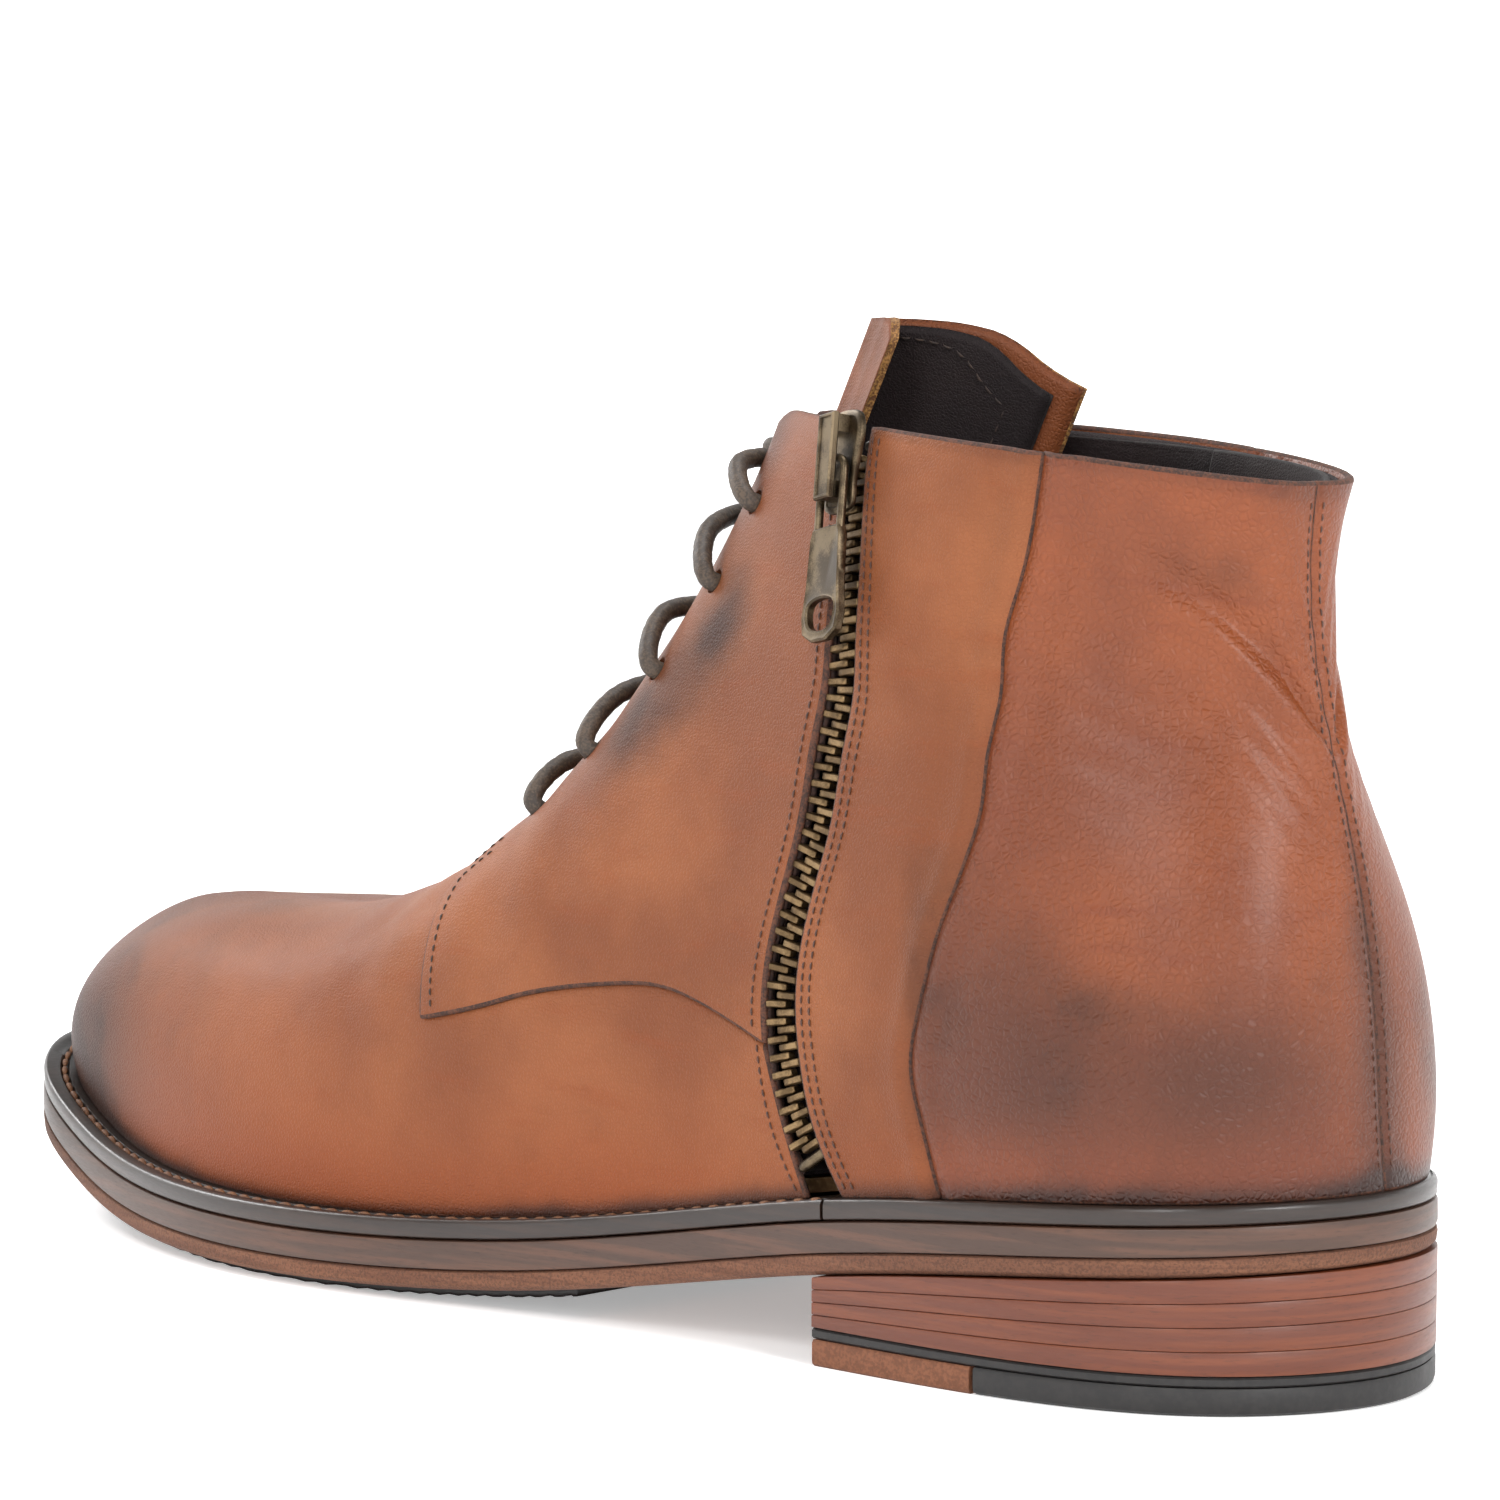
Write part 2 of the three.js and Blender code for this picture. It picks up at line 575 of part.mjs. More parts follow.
const frontLift = heelPiece(() => 0, () => TOP_LIFT_THICK, BREAST_X, TOP_LIFT_JOINT_X - 0.2);
add('top_lift_leather', frontLift, 0xa5694a, 0.75);
add('top_lift_rubber', heelPiece(() => 0, () => TOP_LIFT_THICK, TOP_LIFT_JOINT_X + 0.2), BLACK_RUBBER, 0.85);

const corkInset = 12;
const cork = soleLayer(atShare(MIDSOLE_SHARE, 0.5), atShare(1, -0.8), corkInset, corkInset + 2, 205, 18);
add('cork_filler', cork, 0xa9865a, 0.95);
const SHANK = [[216, 0], [286, 0]];
const shankRings = steps(SHANK[0][0], SHANK[1][0], 8).map((x) => {
  const z = soleHeight(x, MIDSOLE_SHARE) + 0.3;
  return [[x, -7, z], [x, 9, z], [x, 9, z + 1.2], [x, -7, z + 1.2]].map(vector);
});
add('shank', loft(shankRings), 0x8f9296, 0.4, 1);
const insoleBase = (x) => soleHeight(x, 1) + 0.2;
add('insole', soleLayer(insoleBase, (x) => insoleBase(x) + 2.2, 13, 13.6, 286.5, 24), RAW_LEATHER, 0.9);
const sockBottom = (x) => insoleBase(x) + 2.4;
add('sock_liner', soleLayer(sockBottom, (x) => sockBottom(x) + 1, 13.6, 14.4, 285.8, 24), 0x3a2b24, 0.8);

// ---------------------------------------------------------------- leather panels
const zipCurve = spline(ZIP_LINE.map((pair) => pair[0]), ZIP_LINE.map((pair) => [pair[1]]));
const seamCurve = spline(REAR_SEAM.map((pair) => pair[0]), REAR_SEAM.map((pair) => [pair[1]]));

/** Position `reach` mm along the shaft from `position`; negative reach is towards the toe. */
function shifted(position, share, reach) {
  const unit = surfaceAt(position + 0.02, share).distanceTo(surfaceAt(position, share)) / 0.02;
  return position + reach / unit;
}
const beside = (curve, share, reach) => [shifted(curve(share)[0], share, reach), share];
const seamGap = 0.35;

const topOfVamp = (outer) => {
  const low = (outer ? OUTER_QUARTER_LOW : QUARTER_LOW).map(([p, s]) => [p - 0.01, s - 0.006]);
  const ridge = [[0, 1], [0.5, 1], [1, 1], [1.5, 1], [2, 1], [2.5, 1], [3, 1], [3.35, 1], [3.6, 1]];
  return [...ridge, [3.64, 0.86], [3.655, 0.74], [3.665, 0.64], [3.705, 0.52], ...low];
};
const vampFeet = [0, 0.55, 1.1, 1.6, 2.1, 2.6, 3, 3.25, 3.42, 3.5, 3.58, 3.66, 3.76, 3.88];

/** Columns of the vamp on one side: from the feather line up to the ridge or the quarter's edge. */
function vampHalf(outer) {
  const tops = topOfVamp(outer);
  const lastFoot = outer ? seamCurve(0.02)[0] - 0.02 : beside(zipCurve, 0.02, -ZIP_OPENING)[0];
  const rest = tops.length - vampFeet.length;
  const feet = [...vampFeet, ...steps(vampFeet.at(-1), lastFoot, rest).slice(1)];
  return between(feet.map((p) => [p, BOTTOM_SHARE]), tops, 7);
}
const vampOuter = toSide(vampHalf(true).slice(1), true);
add('vamp', panel([...vampOuter, ...vampHalf(false)], VAMP_LAYER), TAN, 0.5);

/** Edge of the quarter along the lacing and on round the rim, up to an edge position on the rim. */
function facingLine(outer, lastPosition, inset = 0) {
  const facing = FACING.map(([ridge, half]) => acrossFront(ridge, half + inset, outer));
  const start = facing.at(-1)[0] + 0.03;
  const rim = steps(Math.max(start, TOP_FRONT + 0.07), lastPosition, 5).map((p) => [p, 0.998]);
  return { facing, rim };
}

function quarter(outer) {
  const low = outer ? OUTER_QUARTER_LOW : QUARTER_LOW;
  const lastShare = low.at(-1)[1];
  const rearCurve = outer ? seamCurve : zipCurve;
  const reach = outer ? -seamGap : -ZIP_OPENING;
  const end = steps(lastShare, 0.998, 12).map((share) => beside(rearCurve, share, reach));
  const { facing, rim } = facingLine(outer, end.at(-1)[0]);
  const bottom = [...low.slice(0, -1), end[0]];
  const front = [...FRONT_EDGE, facing[0]];
  const grid = patch(bottom, [...facing, ...rim.slice(0, -1), end.at(-1)], front, end, 12, 8);
  return toSide(grid, outer);
}

const holes = [];
const eyeletPlaces = [];
for (const outer of [false, true]) {
  for (const [ridge, half] of EYELETS) {
    const [position, share] = acrossFront(ridge, half, outer);
    const place = onSide(position, outer);
    const normal = normalAt(place, share);
    const centre = surfaceAt(place, share);
    const end = (offset) => centre.clone().addScaledVector(normal, offset);
    holes.push(bar(end(-6), end(4), HOLE_WIDE / 2, 10));
    eyeletPlaces.push({ outer, end, normal, ridge, half });
  }
}
const holesOn = (outer) => holes.filter((_, i) => eyeletPlaces[i].outer === outer);

add('quarter_inner', cut(panel(quarter(false), QUARTER_LAYER), holesOn(false)), TAN, 0.5);
add('quarter_outer', cut(panel(quarter(true), QUARTER_LAYER), holesOn(true)), TAN, 0.5);

/** Grid between two curves given as position by share. */
function stripBetween(front, frontReach, rear, rearReach, low, high, columns, count) {
  const edge = (curve, reach) => steps(low, high, count).map((share) => beside(curve, share, reach));
  const [start, end] = [edge(front, frontReach), edge(rear, rearReach)];
  return steps(0, 1, columns).map((u) => start.map(([p, s], r) => [p + (end[r][0] - p) * u, s]));
}
const backCurve = () => [HEEL_BACK];
const zipRear = stripBetween(zipCurve, ZIP_OPENING, seamCurve, -seamGap, BOTTOM_SHARE, 0.998, 4, 12);
add('zip_side_strip', panel(zipRear, STRIP_LAYER), TAN, 0.5);
const rearGrid = stripBetween(seamCurve, seamGap, backCurve, -seamGap, BOTTOM_SHARE, 0.998, 7, 10);
add('rear_panel_inner', panel(rearGrid, VAMP_LAYER), ORANGE_BROWN, 0.4);
add('rear_panel_outer', panel(toSide(rearGrid, true), VAMP_LAYER), ORANGE_BROWN, 0.4);

// ---------------------------------------------------------------- stiffeners and lining
const around = (from, to, low, high, columns, count) =>
  steps(from, to, columns).map((p) => steps(low, high, count).map((s) => [p, s]));
add('toe_puff', panel(around(-1.8, 1.8, 0.06, 1, 12, 6), STIFFENER_LAYER), 0xb9a98c, 0.9);
add('heel_stiffener', panel(around(6.5, 9.5, 0.05, 0.4, 10, 4), STIFFENER_LAYER), 0x8a6a4c, 0.9);
add('vamp_lining', panel(around(-3.5, 3.5, 0.06, 1, 16, 6), LINING_LAYER), DARK_LINING, 0.8);
add('rear_lining', panel(around(6.25, 9.75, 0.05, 0.985, 12, 7), LINING_LAYER), DARK_LINING, 0.8);

/** Lining of a quarter, from just behind the vamp lining to the zip or the rear lining. */
function quarterLining(outer) {
  const rearCurve = outer ? () => [6.2] : zipCurve;
  const reach = outer ? 0 : -8;
  const end = steps(0.04, 0.985, 12).map((share) => beside(rearCurve, share, reach));
  const { facing, rim } = facingLine(outer, end.at(-1)[0], 1);
  const bottom = steps(3.85, end[0][0], 8).map((p) => [p, 0.04]);
  const front = [[3.85, 0.04], [3.8, 0.3], [3.77, 0.55], facing[0]];
  const top = [...facing, ...rim.slice(0, -1).map(([p]) => [p, 0.985]), end.at(-1)];
  return toSide(patch(bottom, top, front, end, 10, 8), outer);
}
for (const [outer, side] of [[false, 'inner'], [true, 'outer']]) {
  const lining = cut(panel(quarterLining(outer), THIN_LINING_LAYER), holesOn(outer));
  add(`quarter_lining_${side}`, lining, DARK_LINING, 0.8);
}
const stripLining = stripBetween(zipCurve, 8, () => [6.2], 0, 0.05, 0.985, 3, 10);
add('zip_side_lining', panel(stripLining, THIN_LINING_LAYER), DARK_LINING, 0.8);

// ---------------------------------------------------------------- zip
/** Frame on the zip: point at an offset, direction down the zip, across it (to the heel), outwards. */
function zipFrame(share) {
  const at = (value) => surfaceAt(zipCurve(value)[0], value);
  const down = at(share - 0.004).sub(at(share + 0.004)).normalize();
  const out = normalAt(zipCurve(share)[0], share);
  const across = new THREE.Vector3().crossVectors(out, down).normalize();
  if (across.x < 0) across.negate();
  return { point: at(share), down, across, out };
}
const ZIP_TOP = 0.94;
const ZIP_BOTTOM = 0.045;
const zipRun = steps(ZIP_TOP, ZIP_BOTTOM, 240);
const zipLengths = [[0, ZIP_TOP]];
for (let i = 1; i < zipRun.length; i += 1) {
  const run = zipFrame(zipRun[i]).point.distanceTo(zipFrame(zipRun[i - 1]).point);
  zipLengths.push([zipLengths[i - 1][0] + run, zipRun[i]]);
}
const zipLength = zipLengths.at(-1)[0];
const shareAtRun = (run) => along(zipLengths, run);

/** Corner points of a bar along the zip, between two reaches across and two offsets. */
function zipSection(share, near, far, [outside, inside]) {
  const { point, across, out } = zipFrame(share);
  const corner = (reach, offset) => point.clone().addScaledVector(across, reach).addScaledVector(out, offset);
  const ring = [corner(near, inside), corner(far, inside), corner(far, outside), corner(near, outside)];
  return ring;
}

function teeth(side) {
  const rings = [];
  const count = Math.floor(zipLength / TOOTH_PITCH) - 1;
  const root = side * CHAIN_HALF;
  const tip = -side * TOOTH_REACH;
  const neck = side * (TOOTH_REACH + 0.5);
  const section = (run, reach) => {
    const [near, far] = [Math.min(root, reach), Math.max(root, reach)];
    return zipSection(shareAtRun(run), near, far, TOOTH_LAYER);
  };
  rings.push(section(0.2, neck));
  for (let i = 0; i < count; i += 1) {
    const start = 0.6 + i * TOOTH_PITCH + (side > 0 ? TOOTH_PITCH / 2 : 0);
    rings.push(section(start, neck), section(start + 0.02, tip));
    rings.push(section(start + TOOTH_LENGTH, tip), section(start + TOOTH_LENGTH + 0.02, neck));
  }
  return loft(rings);
}
add('zip_teeth_front', teeth(-1), ANTIQUE_BRASS, 0.4, 1);
add('zip_teeth_rear', teeth(1), ANTIQUE_BRASS, 0.4, 1);

const tape = (near, far) => stripBetween(zipCurve, near, zipCurve, far, ZIP_BOTTOM, 0.97, 3, 12);
add('zip_tape_front', panel(tape(-TAPE_HALF, -CHAIN_HALF - 0.9), TAPE_LAYER), DARK_LINING, 0.9);
add('zip_tape_rear', panel(tape(CHAIN_HALF + 0.9, TAPE_HALF), TAPE_LAYER), DARK_LINING, 0.9);

const stop = (near, far, high, low) => {
  const rings = [high, low].map((share) => zipSection(share, near, far, TOOTH_LAYER));
  return loft(rings);
};
const bottomStop = stop(-3.2, 3.2, shareAtRun(zipLength - 2.2), shareAtRun(zipLength - 0.2));
add('zip_bottom_stop', bottomStop, ANTIQUE_BRASS, 0.4, 1);
add('zip_top_stop_front', stop(-CHAIN_HALF, -1.6, 0.957, ZIP_TOP + 0.002), ANTIQUE_BRASS, 0.4, 1);
add('zip_top_stop_rear', stop(1.6, CHAIN_HALF, 0.957, ZIP_TOP + 0.002), ANTIQUE_BRASS, 0.4, 1);
const guard = stripBetween(zipCurve, -7, zipCurve, 16, 0.06, 0.93, 4, 12);
add('zip_guard', panel(guard, GUARD_LAYER), DARK_LINING, 0.8);

const sliderShare = 0.915;
// The slider lies along its straight run, between where it rests and where its travel ends.
const slider = zipFrame(sliderShare);
slider.down = zipFrame(TRAVEL_END).point.sub(slider.point).normalize();
slider.across = new THREE.Vector3().crossVectors(slider.out, slider.down).normalize();
if (slider.across.x < 0) slider.across.negate();
slider.out = new THREE.Vector3().crossVectors(slider.down, slider.across).normalize();
if (slider.out.y > 0) slider.out.negate();
const sliderAxes = [slider.down, slider.across, slider.out];
const inSlider = (down, across, out) => slider.point.clone()
  .addScaledVector(slider.down, down)
  .addScaledVector(slider.across, across)
  .addScaledVector(slider.out, out);

/** A flat plate with the given outline [down, across], between two offsets. */
function plate(outline, low, high) {
  const ring = (offset) => outline.map(([down, across]) => inSlider(down, across, offset));
  return loft([ring(low), ring(high)]);
}
const halfLong = SLIDER_LONG / 2;
const halfWide = SLIDER_WIDE / 2;
const sliderOutline = [
  [-halfLong, -3.2], [-halfLong + 2, -halfWide], [1, -halfWide], [halfLong, -4.4],
  [halfLong, 4.4], [1, halfWide], [-halfLong + 2, halfWide], [-halfLong, 3.2],
];
const bridgeFoot = (down) => orientedBox(inSlider(down, 0, SLIDER_LEVEL + 1.9), sliderAxes, [2, 4.4, 2.6]);
const slides = [
  plate(sliderOutline, SLIDER_LEVEL, SLIDER_LEVEL + 1.2),
  bridgeFoot(-5.6),
  bridgeFoot(5.2),
  orientedBox(inSlider(-0.2, 0, SLIDER_LEVEL + 3.7), sliderAxes, [12.8, 4.4, 1.2]),
];
add('zip_slider', join(slides), ANTIQUE_BRASS, 0.35, 1);

const pullDrop = halfLong + 3;
const wireRadius = 0.65;
const wireLevel = SLIDER_LEVEL + 2.15;
const wireEnds = (across) => [inSlider(0.1, across, wireLevel), inSlider(pullDrop + 1, across, wireLevel)];
const wireSides = [-3.3, 3.3].map((across) => bar(...wireEnds(across), wireRadius, 8));
const wireTop = bar(inSlider(0.1, -3.6, wireLevel), inSlider(0.1, 3.6, wireLevel), wireRadius, 8);
const tabOutline = [
  [pullDrop, -3.9], [pullDrop + 9, -4.8], [pullDrop + PULL_LONG - 5, -5.7],
  [pullDrop + PULL_LONG - 1.5, -4.6],
  [pullDrop + PULL_LONG, -2], [pullDrop + PULL_LONG, 2], [pullDrop + PULL_LONG - 1.5, 4.6],
  [pullDrop + PULL_LONG - 5, 5.7], [pullDrop + 9, 4.8], [pullDrop, 3.9],
];
const holeOutline = [
  [pullDrop + 12, -3.6], [pullDrop + 15, -3.4], [pullDrop + 16.2, -1.4], [pullDrop + 16.2, 1.4],
  [pullDrop + 15, 3.4], [pullDrop + 12, 3.6],
];
const pullBody = join([...wireSides, wireTop, plate(tabOutline, wireLevel - 0.8, wireLevel + 0.8)]);
add('zip_pull', cut(pullBody, [plate(holeOutline, wireLevel - 2, wireLevel + 2)]), ANTIQUE_BRASS, 0.35, 1);

// ---------------------------------------------------------------- tongue
const TONGUE_FIRST = 3.8;
// How far the tongue's face turns from its middle to its edge, in radians, along the ridge.
const TONGUE_TURN = [[3.8, 0.7], [4.2, 0.95], [4.6, 1.2], [5, 1.35]];
// How far the tongue reaches from the middle on each side, along the ridge.
const TONGUE_INNER = [[3.8, 20], [4.2, 25], [4.6, 20], [5, 14.5]];
const TONGUE_OUTER = [[3.8, 20], [4.2, 27], [4.6, 26], [5, 25]];

/** Grid of tongue points at an offset: across the boot, from the throat up to the rim. */
function tongueGrid(offset, widen = 0) {
  const sections = steps(TONGUE_FIRST, 4.93, 7);
  const reaches = steps(-1, 1, 8);
  return reaches.map((reach) => sections.map((ridge) => {
    const outer = reach > 0;
    const half = (along(outer ? TONGUE_OUTER : TONGUE_INNER, ridge) + widen) * Math.abs(reach);
    const [position, share] = half < 0.01 ? [ridge, 1] : acrossFront(ridge, half, outer);
    const turn = reach * along(TONGUE_TURN, ridge);
    const out = normalAt(ridge, 1).multiplyScalar(Math.cos(turn));
    out.y += Math.sin(turn);
    return surfaceAt(onSide(position, outer), share).addScaledVector(out, offset);
  })).reverse();
}
add('tongue', sheet(tongueGrid(TONGUE_LAYER[0]), tongueGrid(TONGUE_LAYER[1])), TAN, 0.55);
const tongueLining = TONGUE_LINING_LAYER.map((offset) => tongueGrid(offset, -1));
add('tongue_lining', sheet(...tongueLining), DARK_LINING, 0.8);

// Height of the tongue's free edge, from its inner side (-1) to its outer side (1).
const FLAP_TOP = [[-1, 159], [-0.75, 161], [0, 161], [0.4, 159.5], [0.75, 154.5], [1, 147]];
const FLAP_LEAN = new THREE.Vector3(0.42, 0.04, 0.91).normalize();

/** The free top of the tongue: it goes on from the tongue's last section, leaning back. */
function flapGrid(offset, trim) {
  const base = tongueGrid(offset, -trim).map((column) => column.at(-1));
  return base.map((start, i) => {
    const reach = 1 - (2 * i) / (base.length - 1);
    const high = (along(FLAP_TOP, reach) - trim - start.z) / FLAP_LEAN.z;
    return steps(0.7, high, 3).map((run) => start.clone().addScaledVector(FLAP_LEAN, run));
  });
}
add('tongue_flap', sheet(flapGrid(TONGUE_LAYER[0], 0), flapGrid(TONGUE_LAYER[1], 0)), TAN, 0.55);
const flapLining = TONGUE_LINING_LAYER.map((offset) => flapGrid(offset, 1));
add('tongue_flap_lining', sheet(...flapLining), DARK_LINING, 0.8);

// ---------------------------------------------------------------- eyelets
eyeletPlaces.forEach(({ outer, end }, i) => {
  const ring = washer(end(-2.05), end(-1.45), HOLE_WIDE / 2, EYELET_WIDE / 2);
  add(`eyelet_${outer ? 'outer' : 'inner'}_${(i % EYELETS.length) + 1}`, ring, ANTIQUE_BRASS, 0.4, 1);
});

// ---------------------------------------------------------------- lace
const eyeletAt = (outer, i) => eyeletPlaces[i + (outer ? EYELETS.length : 0)];

/** Point level with a ridge position, `half` mm from the middle, at an offset from the surface. */
function frontPoint(ridge, half, outer, offset) {
  if (half < 0.01) return offsetAt(ridge, 1, offset);
  const [position, share] = acrossFront(ridge, half, outer);
  return offsetAt(onSide(position, outer), share, offset);
}

/** Route of one lace end from the lowest pair to the inside of the shaft. */
function laceEnd(startsOuter, middleOffset) {
  const points = [];
  let outer = startsOuter;
  EYELETS.forEach(([ridge], i) => {
    const { end } = eyeletAt(outer, i);
    const last = i === EYELETS.length - 1;
    const next = last ? 4.97 : EYELETS[i + 1][0];
    const edgeHalf = (place) => along(FACING, place);
    points.push(end(UNDER_FACING), end(-1.5), end(2.2));
    const rise = ridge + (next - ridge) * 0.3;
    points.push(frontPoint(rise, edgeHalf(rise) + 2, outer, OVER_FACING));
    points.push(frontPoint((ridge + next) / 2, 0, outer, middleOffset));
    const dive = ridge + (next - ridge) * 0.75;
    points.push(frontPoint(dive, edgeHalf(dive) - 1, !outer, UNDER_FACING + 0.2));
    outer = !outer;
  });
  for (const [ridge, half] of TUCKED) points.push(frontPoint(ridge, half, outer, UNDER_FACING));
  return points;
}
const endFromInner = laceEnd(false, -2.8);
const endFromOuter = laceEnd(true, 1.2);
const bridge = frontPoint(3.78, 0, false, UNDER_FACING);
const laceKnots = [...endFromInner.reverse(), bridge, ...endFromOuter];
const laceCurve = new THREE.CatmullRomCurve3(laceKnots, false, 'centripetal');

/** A round tube along a curve, between two shares of its length. */
function tube(curve, radius, sides, count) {
  const frames = curve.computeFrenetFrames(count, false);
  const rings = steps(0, 1, count).map((share, i) => steps(0, 2 * Math.PI, sides).slice(0, -1).map((angle) =>
    curve.getPointAt(share)
      .addScaledVector(frames.normals[i], radius * Math.cos(angle))
      .addScaledVector(frames.binormals[i], radius * Math.sin(angle))));
  return loft(rings);
}
laceCurve.arcLengthDivisions = 2000;
add('lace', tube(laceCurve, LACE_WIDE / 2, 6, Math.round(laceCurve.getLength() / 3)), LACE_BROWN, 0.75);
for (const [name, share, sign] of [['aglet_inner', 0, -1], ['aglet_outer', 1, 1]]) {
  const tip = laceCurve.getPointAt(share);
  const run = laceCurve.getTangentAt(share).multiplyScalar(sign);
  const at = (distance) => tip.clone().addScaledVector(run, distance);
  add(name, bar(at(0.3), at(AGLET_LONG), 1.3, 8), LACE_BROWN, 0.4);
}

// ---------------------------------------------------------------- origin and hand over
const bounds = new THREE.Box3().setFromObject(boot);
const middle = bounds.getCenter(new THREE.Vector3());
boot.children.forEach((mesh) => mesh.geometry.translate(-middle.x, -middle.y, -bounds.min.z));

export default boot;
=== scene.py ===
"""Visual model of a laced leather ankle boot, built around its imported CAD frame.

Lengths inside the classes are millimetres on the last: x runs from the toe to the heel, y towards the
outer side of the foot and z up from the floor. Every mesh is handed over in metres, in the row frame.
"""

import json  # noqa: E402
import logging  # noqa: E402
import math  # noqa: E402
from dataclasses import dataclass, field  # noqa: E402
from enum import Enum  # noqa: E402

import bmesh  # noqa: E402
import bpy  # noqa: E402
import numpy as np  # noqa: E402
from mathutils import Matrix, Vector  # noqa: E402

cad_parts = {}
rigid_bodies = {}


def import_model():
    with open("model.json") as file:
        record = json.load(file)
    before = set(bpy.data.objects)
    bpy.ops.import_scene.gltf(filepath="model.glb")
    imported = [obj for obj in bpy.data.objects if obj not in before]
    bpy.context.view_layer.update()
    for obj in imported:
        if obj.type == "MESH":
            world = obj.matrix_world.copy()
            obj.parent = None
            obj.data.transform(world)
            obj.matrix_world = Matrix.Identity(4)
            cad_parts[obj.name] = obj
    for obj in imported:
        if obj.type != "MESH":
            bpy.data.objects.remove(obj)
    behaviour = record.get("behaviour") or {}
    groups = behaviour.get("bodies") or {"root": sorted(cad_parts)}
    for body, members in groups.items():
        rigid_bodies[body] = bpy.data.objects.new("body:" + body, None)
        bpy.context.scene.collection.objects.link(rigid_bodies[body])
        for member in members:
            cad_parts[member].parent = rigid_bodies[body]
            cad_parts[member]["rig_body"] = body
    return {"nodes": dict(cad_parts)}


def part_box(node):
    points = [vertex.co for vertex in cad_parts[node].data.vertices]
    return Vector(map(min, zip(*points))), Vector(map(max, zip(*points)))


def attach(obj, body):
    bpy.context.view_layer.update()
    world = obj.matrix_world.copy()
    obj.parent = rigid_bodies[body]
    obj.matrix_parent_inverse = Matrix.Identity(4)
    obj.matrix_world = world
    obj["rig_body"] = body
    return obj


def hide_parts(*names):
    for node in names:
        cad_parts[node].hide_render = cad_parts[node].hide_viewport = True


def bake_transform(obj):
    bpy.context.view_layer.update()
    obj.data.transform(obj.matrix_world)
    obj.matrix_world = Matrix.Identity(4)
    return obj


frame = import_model()
LOG = logging.getLogger("ankle_boot")
MM = 0.001
# Edge positions count the points of the sole edge from the toe, up the inner side and round the heel.
ROUND = 16
HEEL_BACK = 8
TOP_FRONT = 5
LACE_STEP = 0.42
RIM_SHARE = 0.985


class Body(Enum):
    """The CAD bodies that a piece can ride on."""

    BOOT = "boot"
    SLIDER = "zip_slider"
    PULL = "zip_pull"
    FLAP = "tongue_flap"


# ------------------------------------------------------------------------------------ materials
def linear(red: int, green: int, blue: int) -> tuple[float, float, float, float]:
    """Turns a display colour from 0 to 255 into the linear colour that a shader takes.

    Args:
        red: Red, 0 to 255.
        green: Green, 0 to 255.
        blue: Blue, 0 to 255.

    Returns:
        The linear colour with alpha 1.
    """
    parts = [value / 255 for value in (red, green, blue)]
    low = [part / 12.92 if part <= 0.04045 else ((part + 0.055) / 1.055) ** 2.4 for part in parts]
    return (low[0], low[1], low[2], 1.0)


class Value:
    """A number in a material, with arithmetic that adds Math nodes."""

    def __init__(self, graph: "Graph", socket: bpy.types.NodeSocket) -> None:
        """Keeps the graph and the socket that holds the number."""
        self.graph = graph
        self.socket = socket

    def _math(self, operation: str, *terms: "Value | float") -> "Value":
        """Adds one Math node on the given terms."""
        inputs = {i: term for i, term in enumerate(terms)}
        return self.graph.node("ShaderNodeMath", {"operation": operation}, inputs).value("Value")

    def __add__(self, other: "Value | float") -> "Value":
        """Sum."""
        return self._math("ADD", self, other)

    __radd__ = __add__

    def __mul__(self, other: "Value | float") -> "Value":
        """Product."""
        return self._math("MULTIPLY", self, other)

    __rmul__ = __mul__

    def __sub__(self, other: "Value | float") -> "Value":
        """Difference."""
        return self._math("SUBTRACT", self, other)

    def __rsub__(self, other: float) -> "Value":
        """Difference from a number."""
        return self._math("SUBTRACT", other, self)

    def above(self, low: float, high: float) -> "Value":
        """Smooth step from 0 at low to 1 at high.

        Args:
            low: Where the step starts.
            high: Where the step ends.

        Returns:
            The step as a value from 0 to 1.
        """
        settings = {"interpolation_type": "SMOOTHSTEP"}
        inputs = {"Value": self, "From Min": low, "From Max": high}
        return self.graph.node("ShaderNodeMapRange", settings, inputs).value("Result")


@dataclass
class Step:
    """One node of a material, with short ways to reach its outputs."""

    graph: "Graph"
    item: bpy.types.Node

    def value(self, name: str | int) -> Value:
        """An output as a number."""
        return Value(self.graph, self.item.outputs[name])

    def link(self, name: str | int) -> bpy.types.NodeSocket:
        """An output as a plain socket."""
        return self.item.outputs[name]


